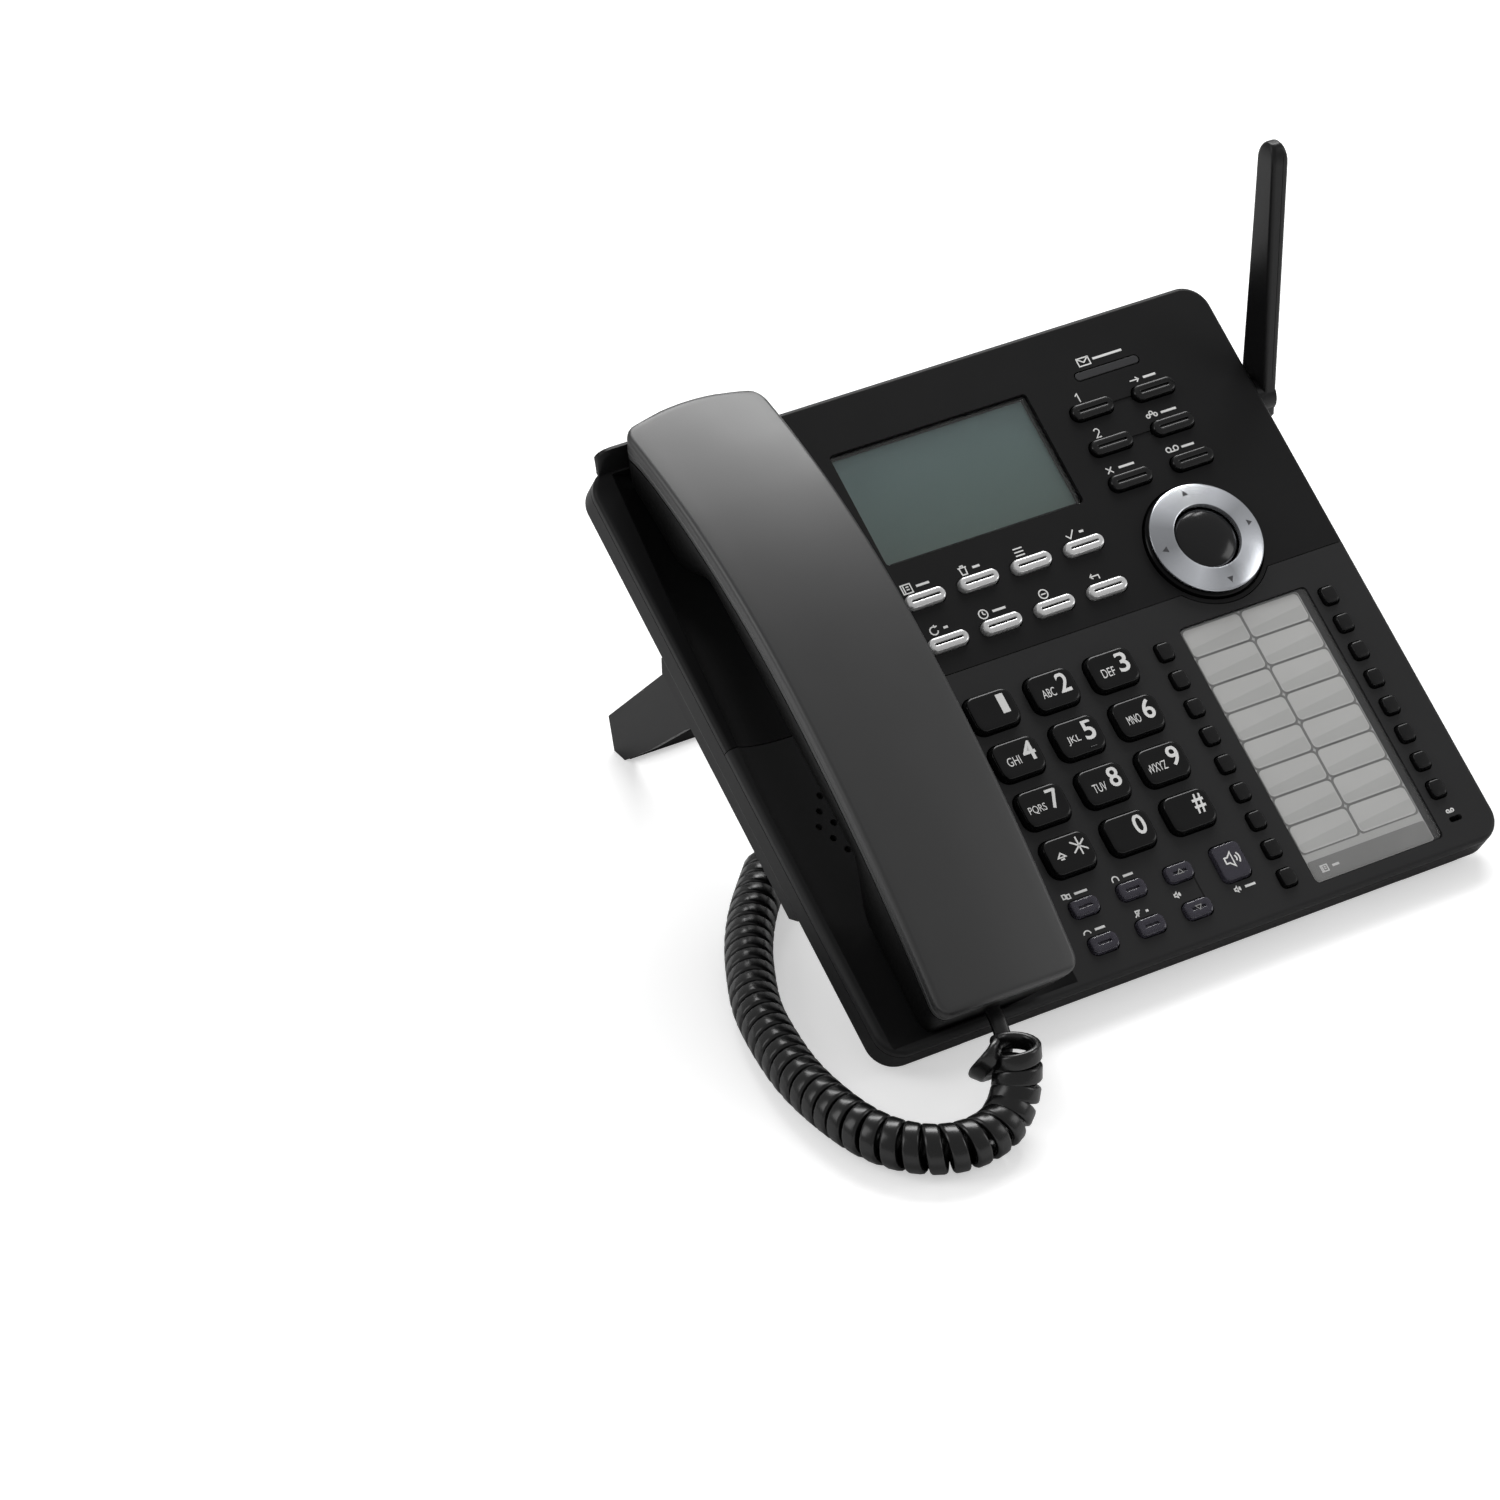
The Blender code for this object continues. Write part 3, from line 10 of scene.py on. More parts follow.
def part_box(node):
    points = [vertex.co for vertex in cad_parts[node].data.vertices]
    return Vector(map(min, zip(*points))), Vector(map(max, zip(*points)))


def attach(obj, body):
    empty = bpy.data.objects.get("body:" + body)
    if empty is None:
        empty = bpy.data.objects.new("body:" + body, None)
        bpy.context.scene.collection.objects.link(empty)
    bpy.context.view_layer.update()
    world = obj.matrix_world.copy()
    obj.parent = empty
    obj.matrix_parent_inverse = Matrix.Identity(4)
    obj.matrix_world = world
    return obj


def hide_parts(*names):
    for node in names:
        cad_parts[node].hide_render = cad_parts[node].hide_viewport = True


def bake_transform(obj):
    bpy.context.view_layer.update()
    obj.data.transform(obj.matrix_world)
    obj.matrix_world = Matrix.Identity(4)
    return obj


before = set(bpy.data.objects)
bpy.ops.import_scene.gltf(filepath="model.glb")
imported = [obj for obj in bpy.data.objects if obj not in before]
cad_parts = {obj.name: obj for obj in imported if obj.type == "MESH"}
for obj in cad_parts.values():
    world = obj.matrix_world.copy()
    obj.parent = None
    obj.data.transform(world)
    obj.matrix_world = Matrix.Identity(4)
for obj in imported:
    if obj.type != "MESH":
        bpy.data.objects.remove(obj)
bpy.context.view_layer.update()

bl_info = {
    "name": "Desk telephone",
    "version": (1, 0, 0),
    "blender": (4, 5, 0),
    "location": "3D View > Sidebar > Telephone",
    "description": "Builds the visible pieces of a desk telephone over its frame",
    "category": "Object",
}

MM = 0.001

# Frame of the front panel: X across from the left wall, Y up the panel, Z out of it
BASE = Vector((-0.11205, -0.090428, 0.0))
TILT = math.radians(32.66)
LIFT = 0.0112
TABLE = Matrix.Translation(BASE)
PANEL = Matrix.Translation(BASE + Vector((0.0, 0.0, LIFT))) @ Matrix.Rotation(TILT, 4, "X")

# Sizes of the housing, in millimetres
WIDTH, LENGTH, THICK = 216.7, 197.4, 3.0
SPLIT, GAP = 102.9, 0.3
CASE, WALL, BELLY = 11.0, 1.5, 15.2
NAV = (173.25, 116.65)
NAV_RING, NAV_HUB, NAV_SKIRT = 18.15, 10.0, 18.7
SCALLOP = 20.8
CRADLE_LEFT, CRADLE_RIGHT, CRADLE_DEPTH, RIM = 2.8, 65.5, 6.6, 2.5
HANDSET_X, HANDSET_START, HANDSET, HANDSET_HALF = 33.35, -0.5, 204.5, 23.45
DIAL = [(81.8 + 21.0 * i, 87.5 - 16.23 * j) for j in range(4) for i in range(3)]
DIAL_NAMES = ("1", "2", "3", "4", "5", "6", "7", "8", "9", "star", "0", "hash")
SOFT = [(80.1 + 18.64 * i, 127.4 - 15.0 * j) for j in range(2) for i in range(4)]
FUNCTION = [(161.3 + 22.3 * i, 167.8 - 12.6 * j) for j in range(3) for i in range(2)]
CLEAR = [(78.65 + 16.43 * i, 22.6 - 12.13 * j) for j in range(2) for i in range(3)]
SPEAKER = (128.5, 20.3)
MEMORY_PITCH = 9.71
MEMORY = {"left": [(142.9, 87.7 - MEMORY_PITCH * j) for j in range(9)],
          "right": [(202.5, 87.7 - MEMORY_PITCH * j) for j in range(8)]}
DISPLAY = (74.65, 141.1, 143.4, 179.1)
LAMP = (173.1, 179.2)
LIST = (151.4, 5.5, 196.6, 92.8)
MIC = (203.6, 9.3)

# Width, length and corner of each kind of control, in millimetres
SOFT_KEY, FUNCTION_KEY = (13.6, 4.6, 2.2), (14.7, 5.2, 2.5)
DIAL_KEY, DIAL_RISE = (16.0, 12.2, 3.4), 2.6
CLEAR_KEY, SPEAKER_KEY, CLEAR_RISE = (9.3, 5.5, 2.0), (9.9, 11.8, 2.0), 1.4
MEMORY_KEY, MEMORY_RISE = (5.2, 5.8, 1.4), 1.6
LAMP_BAR, MIC_HOLE = (22.6, 2.5, 1.2), (3.6, 1.0, 0.4)
BAR_RISE = 1.8

# Corners, clearances and places behind the panel, in millimetres
CORNER, SLIT = 8.4, 0.4
BELLY_FRONT, BELLY_BACK = 51.0, 140.0
PLUG, PLUG_UP = (33.0, 95.0), 5.0
STAND_SIDE, STAND_WALL = 22.4, 3.0
ANTENNA_Y, ANTENNA_DEPTH = 158.9, 7.5
SKIRTS = ((8.0, 151.7), (168.0, 208.0))
FOOT_LENGTH, FOOT_LEFT, FOOT_RIGHT = 22.0, 9.2, 184.8

# Camera and light, solved from the photograph's edges
LENS = 153.24
CAMERA = (-0.7882, -1.2079, 1.0812)
CAMERA_WAY, CAMERA_RIGHT = (0.4352, 0.7080, -0.5562), (0.852, -0.524, 0.0)
SURROUND, FLOOR_GLOW = 0.42, 0.48
LAMPS = (("back_softbox", (0.75, 1.15, 1.55), (1.5, 0.9), 34.0),
         ("left_softbox", (-1.5, 0.5, 1.1), (0.8, 1.2), 7.0),
         ("right_softbox", (1.6, -0.9, 0.9), (0.7, 1.0), 5.0))


def wanted(name, default, description):
    return FloatProperty(name=name, description=description, default=default, min=0.0, unit="LENGTH",
                         precision=5)


def tint(name, default, description):
    return FloatVectorProperty(name=name, description=description, default=default, size=3, min=0.0, max=1.0,
                               subtype="COLOR")


def share(name, default, description):
    return FloatProperty(name=name, description=description, default=default, min=0.0, max=1.0,
                         subtype="FACTOR")


class PhoneSizes(bpy.types.PropertyGroup):
    """Sizes of small details that can be changed without new bodies"""
    digit_height: wanted("Digit height", 0.0064, "Height of the digits on the dial keys")
    letter_height: wanted("Letter height", 0.0028, "Height of the letters on the dial keys")
    ribbon_width: wanted("Cord width", 0.0050, "Width of the flat cord")
    ribbon_thickness: wanted("Cord thickness", 0.0024, "Thickness of the flat cord")
    coil_radius: wanted("Coil radius", 0.00595, "Radius of the cord's coil to the middle of the cord")
    coil_pitch: wanted("Coil pitch", 0.0055, "Distance from one curl to the next")
    curl_points: IntProperty(name="Points per curl", description="Points of the cord in each curl", default=20,
                             min=12)
    edge_width: wanted("Edge width", 0.00022, "Width of the small bevel on moulded edges")


class PhoneFinishes(bpy.types.PropertyGroup):
    """Colours and roughness of the finishes"""
    upper_black: tint("Upper panel", (0.0095, 0.0095, 0.0098), "Colour of the upper panel")
    lower_black: tint("Lower panel", (0.0235, 0.0235, 0.0240), "Colour of the lower panel and the case")
    handset_black: tint("Handset", (0.0095, 0.0095, 0.0098), "Colour of the handset")
    key_black: tint("Keys", (0.0026, 0.0026, 0.0028), "Colour of the black keys")
    cord_black: tint("Cord", (0.0035, 0.0035, 0.0037), "Colour of the curly cord")
    silver: tint("Silver keys", (0.74, 0.74, 0.74), "Colour of the silver keys")
    chrome: tint("Chrome", (0.66, 0.68, 0.72), "Colour of the navigation ring")
    smoke: tint("Smoke keys", (0.050, 0.047, 0.062), "Colour of the translucent keys")
    print_white: tint("Print", (0.80, 0.80, 0.79), "Colour of the print")
    display: tint("Display", (0.165, 0.240, 0.220), "Colour of the display")
    card: tint("Card", (0.52, 0.52, 0.51), "Colour of the memory list's card")
    panel_roughness: share("Panel roughness", 0.44, "Roughness of the panels")
    handset_roughness: share("Handset roughness", 0.42, "Roughness of the handset")


# Shader node groups and materials

def new_group(name, inputs, outputs):
    group = bpy.data.node_groups.new(name, "ShaderNodeTree")
    for label, kind, value in inputs:
        group.interface.new_socket(label, in_out="INPUT", socket_type=kind).default_value = value
    for label, kind in outputs:
        group.interface.new_socket(label, in_out="OUTPUT", socket_type=kind)
    return group, group.nodes.new("NodeGroupInput"), group.nodes.new("NodeGroupOutput")


def node(tree, kind, links=(), **values):
    """Adds a node; values set its properties or inputs, links are (input, socket) pairs."""
    made = tree.nodes.new(kind)
    for key, value in values.items():
        if key in made.bl_rna.properties:
            setattr(made, key, value)
        else:
            fill(made, **{key: value})
    for target, socket in links:
        tree.links.new(socket, made.inputs[target])
    return made


def fill(made, **values):
    """Sets inputs of a node by name, an underscore standing for a space."""
    for key, value in values.items():
        made.inputs[key.replace("_", " ")].default_value = value


def tone(colour, part=1.0):
    """A share of a colour."""
    return tuple(c * part for c in colour)


def grain_group():
    """Fine moulded grain: height for a bump, with a slight change of roughness and of colour."""
    group, ins, outs = new_group(
        "moulded_grain",
        [("Color", "NodeSocketColor", (0.02, 0.02, 0.02, 1.0)), ("Scale", "NodeSocketFloat", 2500.0),
         ("Roughness", "NodeSocketFloat", 0.45), ("Roughness Change", "NodeSocketFloat", 0.06),
         ("Color Change", "NodeSocketFloat", 0.10)],
        [("Color", "NodeSocketColor"), ("Roughness", "NodeSocketFloat"), ("Height", "NodeSocketFloat")])
    place = node(group, "ShaderNodeTexCoord")
    fine = node(group, "ShaderNodeTexNoise", [("Vector", place.outputs["Object"]),
                                              ("Scale", ins.outputs["Scale"])], Detail=3.0)
    broad = node(group, "ShaderNodeTexNoise", [("Vector", place.outputs["Object"])], Scale=45.0, Detail=4.0)
    spread = node(group, "ShaderNodeMath", [(0, broad.outputs["Fac"])], operation="SUBTRACT")
    spread.inputs[1].default_value = 0.5
    rough = node(group, "ShaderNodeMath", [(0, spread.outputs[0]), (1, ins.outputs["Roughness Change"]),
                                           (2, ins.outputs["Roughness"])], operation="MULTIPLY_ADD")
    shade = node(group, "ShaderNodeMath", [(0, spread.outputs[0]), (1, ins.outputs["Color Change"])],
                 operation="MULTIPLY_ADD")
    shade.inputs[2].default_value = 1.0
    colour = node(group, "ShaderNodeVectorMath", [(0, ins.outputs["Color"]), ("Scale", shade.outputs[0])],
                  operation="SCALE")
    group.links.new(colour.outputs[0], outs.inputs["Color"])
    group.links.new(rough.outputs[0], outs.inputs["Roughness"])
    group.links.new(fine.outputs["Fac"], outs.inputs["Height"])
    return group


GROUPS = {}


def shared(name, make):
    """The named node group, built on its first use."""
    if name not in GROUPS:
        GROUPS[name] = make()
    return GROUPS[name]


def blank(name):
    """A material with its own Principled shader."""
    material = bpy.data.materials.new(name)
    material.use_nodes = True
    return material, material.node_tree, material.node_tree.nodes["Principled BSDF"]


def moulded(name, colour, roughness, scale=2600.0, bump=0.12, metallic=0.0, change=0.08, specular=0.14):
    """Moulded plastic, rubber or paint with the shared grain."""
    material, tree, shader = blank(name)
    grain = node(tree, "ShaderNodeGroup", node_tree=shared("moulded_grain", grain_group))
    fill(grain, Color=(*colour, 1.0), Scale=scale, Roughness=roughness, Roughness_Change=change)
    bumps = node(tree, "ShaderNodeBump", [("Height", grain.outputs["Height"])], Strength=bump, Distance=0.00004)
    tree.links.new(grain.outputs["Color"], shader.inputs["Base Color"])
    tree.links.new(grain.outputs["Roughness"], shader.inputs["Roughness"])
    tree.links.new(bumps.outputs["Normal"], shader.inputs["Normal"])
    fill(shader, Metallic=metallic, Specular_IOR_Level=specular)
    return material


def clear(name, colour, roughness=0.04, alpha=None):
    """Clear or tinted plastic that lets light through."""
    material, tree, shader = blank(name)
    place = node(tree, "ShaderNodeTexCoord")
    haze = node(tree, "ShaderNodeTexNoise", [("Vector", place.outputs["Object"])], Scale=180.0, Detail=2.0)
    ramp = node(tree, "ShaderNodeMapRange", [("Value", haze.outputs["Fac"])], To_Min=roughness * 0.8,
                To_Max=roughness * 1.3)
    tree.links.new(ramp.outputs["Result"], shader.inputs["Roughness"])
    fill(shader, Base_Color=(*colour, 1.0), IOR=1.47)
    if alpha is None:
        fill(shader, Transmission_Weight=1.0)
    else:
        fill(shader, Alpha=alpha)
    return material


def display_material(colour):
    """Liquid crystal behind glass: lighter and bluer towards the top, with faint rows of cells."""
    material, tree, shader = blank("display_crystal")
    place = node(tree, "ShaderNodeTexCoord")
    split = node(tree, "ShaderNodeSeparateXYZ", [("Vector", place.outputs["Object"])])
    rise = node(tree, "ShaderNodeMapRange", [("Value", split.outputs["Y"])], From_Min=DISPLAY[1] * MM,
                From_Max=DISPLAY[3] * MM)
    ramp = node(tree, "ShaderNodeValToRGB", [("Fac", rise.outputs["Result"])])
    ramp.color_ramp.elements[0].color = (*tone(colour, 0.80), 1.0)
    ramp.color_ramp.elements[1].color = (colour[0] * 1.12, colour[1] * 1.12, colour[2] * 1.25, 1.0)
    wave = node(tree, "ShaderNodeTexWave", [("Vector", place.outputs["Object"])], Scale=420.0,
                bands_direction="Y")
    faint = node(tree, "ShaderNodeMix", [(6, ramp.outputs["Color"])], data_type="RGBA", blend_type="MULTIPLY")
    faint.inputs[0].default_value = 0.06
    tree.links.new(wave.outputs["Color"], faint.inputs[7])
    tree.links.new(faint.outputs[2], shader.inputs["Base Color"])
    shader.inputs["Roughness"].default_value = 0.32
    return material


# Positions around the ring and brightness levels of the painted reflection sectors on the chrome
REFLECTION_SECTORS = ((0.00, 0.55), (0.07, 0.95), (0.14, 1.25), (0.21, 0.80), (0.27, 0.62), (0.33, 1.05), (0.42, 1.30),
           (0.50, 0.85), (0.56, 0.70), (0.64, 1.15), (0.75, 1.35), (0.84, 1.10), (0.92, 0.60), (1.00, 0.55))


def ring_material(colour):
    """Turned chrome whose brightness changes in sectors around the ring."""
    material, tree, shader = blank("chrome_turned_painted_reflections")
    place = node(tree, "ShaderNodeTexCoord")
    around = node(tree, "ShaderNodeTexGradient", [("Vector", place.outputs["Object"])], gradient_type="RADIAL")
    ramp = node(tree, "ShaderNodeValToRGB", [("Fac", around.outputs["Fac"])])
    while len(ramp.color_ramp.elements) < len(REFLECTION_SECTORS):
        ramp.color_ramp.elements.new(0.5)
    for element, (position, level) in zip(ramp.color_ramp.elements, REFLECTION_SECTORS):
        element.position = position
        element.color = (*(min(c * level, 0.95) for c in colour), 1.0)
    tree.links.new(ramp.outputs["Color"], shader.inputs["Base Color"])
    fill(shader, Metallic=0.85, Roughness=0.24)
    return material


def cone_material():
    """Pressed paper cone with fine rings."""
    material, tree, shader = blank("loudspeaker_paper")
    place = node(tree, "ShaderNodeTexCoord")
    rings = node(tree, "ShaderNodeTexWave", [("Vector", place.outputs["Object"])], wave_type="RINGS",
                 Scale=60.0, Distortion=0.4)
    ramp = node(tree, "ShaderNodeValToRGB", [("Fac", rings.outputs["Fac"])])
    ramp.color_ramp.elements[0].color = (0.020, 0.016, 0.013, 1.0)
    ramp.color_ramp.elements[1].color = (0.045, 0.038, 0.032, 1.0)
    tree.links.new(ramp.outputs["Color"], shader.inputs["Base Color"])
    shader.inputs["Roughness"].default_value = 0.75
    return material


def board_material():
    """Green laminate with copper tracks."""
    material, tree, shader = blank("board_laminate_tracks")
    place = node(tree, "ShaderNodeTexCoord")
    tracks = node(tree, "ShaderNodeTexBrick", [("Vector", place.outputs["Object"])], Scale=160.0,
                  Color1=(0.010, 0.070, 0.028, 1.0), Color2=(0.014, 0.090, 0.034, 1.0),
                  Mortar=(0.060, 0.140, 0.050, 1.0))
    tree.links.new(tracks.outputs["Color"], shader.inputs["Base Color"])
    shader.inputs["Roughness"].default_value = 0.35
    return material


FINISH = {}


def make_finishes(finishes):
    """Every finish of the telephone, by the name that the pieces ask for."""
    lower = tone(finishes.lower_black)
    black = tone(finishes.key_black)
    FINISH.update({
        "upper": moulded("upper_panel_satin", tone(finishes.upper_black), finishes.panel_roughness - 0.06,
                         bump=0.08),
        "lower": moulded("lower_panel_matt", lower, finishes.panel_roughness, bump=0.16),
        "case": moulded("case_matt", tone(lower, 0.8), 0.50, bump=0.20),
        "handset": moulded("handset_satin", tone(finishes.handset_black), finishes.handset_roughness,
                           bump=0.15, specular=0.85),
        # Painted shade: the handset's inner body takes a third of the handset colour for the shadow under the
        # handset
        "handset_body": moulded("handset_body_painted_shade", tone(finishes.handset_black, 0.35), 0.40, bump=0.15),
        "dial": moulded("dial_key_gloss", black, 0.22, bump=0.03, specular=0.3),
        "function": moulded("function_key_gloss", black, 0.25, bump=0.03, specular=0.4),
        "memory": moulded("memory_key_satin", tone(black, 1.3), 0.30, bump=0.05, specular=0.3),
        "skirt": moulded("navigation_skirt_gloss", black, 0.20, bump=0.02),
        "hub": moulded("hub_gloss", (0.004, 0.004, 0.0045), 0.16, bump=0.0, change=0.02, specular=0.4),
        "silver": moulded("silver_key_coat", tone(finishes.silver), 0.26, bump=0.04, metallic=0.60, scale=5000.0),
        "chrome": ring_material(tone(finishes.chrome)),
        "print": moulded("print_ink", tone(finishes.print_white), 0.55, bump=0.05),
        "print_dim": moulded("print_ink_dim", tone(finishes.print_white, 0.34), 0.55, bump=0.05),
        "arrow": moulded("arrow_ink", (0.07, 0.07, 0.075), 0.5, bump=0.03),
        "card": moulded("list_card_paper", tone(finishes.card), 0.65, scale=1500.0, bump=0.0),
        "card_cell": moulded("list_cell_paper", tone(finishes.card, 1.22), 0.65, scale=1500.0, bump=0.0),
        "card_strip": moulded("list_cell_band", tone(finishes.card, 1.08), 0.65, scale=1500.0, bump=0.0),
        "card_low": moulded("list_lower_band", tone(finishes.card, 0.48), 0.60, scale=1500.0, bump=0.0),
        "card_line": moulded("list_cell_line", tone(finishes.card, 0.42), 0.60, scale=1500.0, bump=0.0),
        "smoke": clear("smoke_clear_key", tone(finishes.smoke), 0.10, alpha=0.80),
        "lens": clear("display_window", (0.93, 0.96, 0.95), 0.03),
        "cover": clear("list_cover_sheet", (0.30, 0.30, 0.30), 0.05, alpha=0.10),
        "lamp": moulded("lamp_smoke", (0.045, 0.045, 0.047), 0.35, bump=0.03),
        "display": display_material(tone(finishes.display)),
        "cord": moulded("cord_gloss", tone(finishes.cord_black), 0.26, bump=0.04, scale=1800.0, specular=0.5),
        "plug": clear("plug_clear", (0.55, 0.56, 0.58), 0.08),
        "rubber": moulded("foot_rubber_matt", (0.020, 0.020, 0.020), 0.80, bump=0.30, scale=1400.0),
        "mat": moulded("keypad_rubber_matt", (0.050, 0.050, 0.052), 0.75, bump=0.20, scale=1400.0),
        "steel": moulded("capsule_steel_satin", (0.42, 0.42, 0.43), 0.34, bump=0.05, metallic=1.0),
        "stand": moulded("stand_matt", tone(lower, 0.85), 0.46, bump=0.18),
        "antenna": moulded("antenna_satin", (0.006, 0.006, 0.0063), 0.34, bump=0.12, specular=0.3),
        "dark": moulded("shadow_black", (0.004, 0.004, 0.004), 0.60, bump=0.05),
        "cone": cone_material(),
        "board": board_material(),
    })


# Geometry, in millimetres until the mesh is made

def rounded(width, length, corner, steps=6, centre=(0.0, 0.0)):
    """Points around a rectangle with rounded corners."""
    half_x, half_y = width / 2, length / 2
    corner = max(min(corner, half_x - 0.02, half_y - 0.02), 0.01)
    points = []
    for quarter, (side_x, side_y) in enumerate(((1, 1), (-1, 1), (-1, -1), (1, -1))):
        for i in range(steps + 1):
            angle = math.pi / 2 * (quarter + i / steps)
            points.append((centre[0] + side_x * (half_x - corner) + corner * math.cos(angle),
                           centre[1] + side_y * (half_y - corner) + corner * math.sin(angle)))
    return points


def loft(rings, into=None):
    """Quads through rings of points, one ring after another."""
    shape = into or bmesh.new()
    rows = [[shape.verts.new(p) for p in ring] for ring in rings]
    count = len(rows[0])
    for first, second in zip(rows, rows[1:]):
        for i in range(count):
            j = (i + 1) % count
            shape.faces.new((first[i], first[j], second[j], second[i]))
    shape.faces.new(list(reversed(rows[0])))
    shape.faces.new(rows[-1])
    return shape


def inset_ring(width, length, corner, inset, drawn, z, steps=8, centre=(0.0, 0.0)):
    """A rounded outline at one height, drawn in by an inset, its corners by another."""
    return [(x, y, z) for x, y in rounded(width - 2 * inset, length - 2 * inset, corner - drawn, steps, centre)]


def slab(width, length, corner, low, high, edge=0.0, under=0.0, steps=8, centre=(0.0, 0.0), fillet=4,
         into=None):
    """A rounded slab with a rolled top edge and under edge."""
    levels = []
    for i in range(fillet + 1):
        angle = math.pi / 2 * i / fillet
        if under > 0:
            levels.append((low + under * (1 - math.sin(angle)), under * (1 - math.cos(angle))))
    levels = sorted(levels) if under > 0 else [(low, 0.0)]
    for i in range(fillet + 1):
        angle = math.pi / 2 * i / fillet
        if edge > 0:
            levels.append((high - edge + edge * math.sin(angle), edge * (1 - math.cos(angle))))
    if edge <= 0:
        levels.append((high, 0.0))
    return loft([inset_ring(width, length, corner, inset, inset, z, steps, centre) for z, inset in levels], into)


def prism(outline, start, end, into=None):
    """An outline of (y, z) points drawn out along X."""
    return loft([[(x, y, z) for y, z in outline] for x in (start, end)], into=into)


def lathe(profile, centre=(0.0, 0.0), sides=72, into=None):
    """A turned solid through (radius, height) points; radius zero closes it on the axis."""
    shape = into or bmesh.new()
    rings = []
    for radius, height in profile:
        if radius <= 0:
            rings.append([shape.verts.new((*centre, height))])
        else:
            rings.append([shape.verts.new((centre[0] + radius * math.cos(2 * math.pi * i / sides),
                                           centre[1] + radius * math.sin(2 * math.pi * i / sides), height))
                          for i in range(sides)])
    pairs = list(zip(rings, rings[1:]))
    if profile[0][0] > 0 and profile[-1][0] > 0:
        pairs.append((rings[-1], rings[0]))
    for first, second in pairs:
        for i in range(sides):
            j = (i + 1) % sides
            if len(first) == 1:
                shape.faces.new((first[0], second[i], second[j]))
            elif len(second) == 1:
                shape.faces.new((first[i], second[0], first[j]))
            else:
                shape.faces.new((first[i], second[i], second[j], first[j]))
    return shape


def tube_along_x(x_low, x_high, y, z, radius, sides=32, into=None):
    angles = [2 * math.pi * i / sides for i in range(sides)]
    return prism([(y + radius * math.cos(a), z + radius * math.sin(a)) for a in angles], x_low, x_high, into)


def mesh_of(shape, name, angle=32.0):
    """A mesh in metres from a shape in millimetres, shaded smooth except at sharp edges."""
    bmesh.ops.recalc_face_normals(shape, faces=shape.faces)
    bmesh.ops.scale(shape, vec=(MM, MM, MM), verts=shape.verts)
    mesh = bpy.data.meshes.new(name)
    shape.to_mesh(mesh)
    shape.free()
    mesh.shade_smooth()
    mesh.set_sharp_from_angle(angle=math.radians(angle))
    return mesh


def add(name, shape, finish, place=PANEL, angle=32.0):
    """An object from a shape, at its place in the row's frame."""
    mesh = mesh_of(shape, name, angle)
    made = bpy.data.objects.new(name, mesh)
    bpy.context.scene.collection.objects.link(made)
    made.matrix_world = place
    if finish:
        mesh.materials.append(FINISH[finish])
    return made


def cut(target, shape, operation="DIFFERENCE"):
    """Applies a Boolean with a shape at once."""
    other = add("cutter", shape, None, target.matrix_world)
    step = target.modifiers.new("cut", "BOOLEAN")
    step.operation = operation
    step.object = other
    step.solver = "EXACT"
    settle(target)
    bpy.data.objects.remove(other, do_unlink=True)


def settle(target, angle=32.0):
    """Applies an object's modifiers; an angle of None keeps the normals that they made."""
    bpy.context.view_layer.update()
    graph = bpy.context.evaluated_depsgraph_get()
    old = target.data
    mesh = bpy.data.meshes.new_from_object(target.evaluated_get(graph))
    target.modifiers.clear()
    target.data = mesh
    bpy.data.meshes.remove(old)
    mesh.name = target.name
    if angle is not None:
        mesh.shade_smooth()
        mesh.set_sharp_from_angle(angle=math.radians(angle))


def soften(target, width, segments=2, angle=40.0):
    """A small bevel on the sharp edges of a moulded piece."""
    step = target.modifiers.new("soft_edges", "BEVEL")
    step.width = width
    step.segments = segments
    for face in target.data.polygons:
        face.use_smooth = True
    sharp = target.data.attributes.get("sharp_edge")
    if sharp:
        target.data.attributes.remove(sharp)
    step.limit_method = "ANGLE"
    step.angle_limit = math.radians(angle)
    step.use_clamp_overlap = True
    weigh = target.modifiers.new("weighted_normals", "WEIGHTED_NORMAL")
    weigh.keep_sharp = False
    weigh.weight = 100
    settle(target, None)


def on_panel(spot):
    """The frame of a control at its (x, y) on the panel, in millimetres."""
    return PANEL @ Matrix.Translation((spot[0] * MM, spot[1] * MM, 0.0))


def give(piece, body, *nodes, slot=None):
    """Puts a piece on its body in place of its CAD nodes."""
    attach(piece, body)
    if nodes:
        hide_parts(*nodes)
    return piece


def cradle_hollow():
    """The hollow under the handset, its left rim wider towards the top."""
    def section(y, left):
        span, right = HANDSET_X - left, CRADLE_RIGHT - HANDSET_X
        points = []
        for i in range(25):
            across = math.cos(math.pi * i / 24)
            reach = span if across > 0 else right
            depth = CRADLE_DEPTH * (1 - abs(across) ** 3.2) ** 0.92
            points.append((HANDSET_X - across * reach, y, -depth))
        return points + [(CRADLE_RIGHT, y, 4.0), (left, y, 4.0)]
    return loft([section(RIM, CRADLE_LEFT), section(RIM + 0.6, CRADLE_LEFT), section(SPLIT * 0.85, CRADLE_LEFT),
                 section(LENGTH * 0.75, (CRADLE_LEFT + 8.0) / 2), section(LENGTH - RIM, 8.0)])


def split_cutter(lower):
    """The region of the other panel piece, straight with the scallop under the ring."""
    half = GAP / 2
    radius = SCALLOP + (half if lower else -half)
    level = SPLIT - half if lower else SPLIT + half
    start = math.pi - math.asin((SPLIT - NAV[1]) / SCALLOP)
    end = 2 * math.pi + math.asin((SPLIT - NAV[1]) / SCALLOP)
    arc = [(NAV[0] + radius * math.cos(start + (end - start) * i / 48),
            NAV[1] + radius * math.sin(start + (end - start) * i / 48)) for i in range(49)]
    far = LENGTH + 20 if lower else -20
    outline = [(-20, far), (-20, level)] + arc + [(WIDTH + 20, level), (WIDTH + 20, far)]
    return loft([[(x, y, z) for x, y in outline] for z in (-22, 32)])


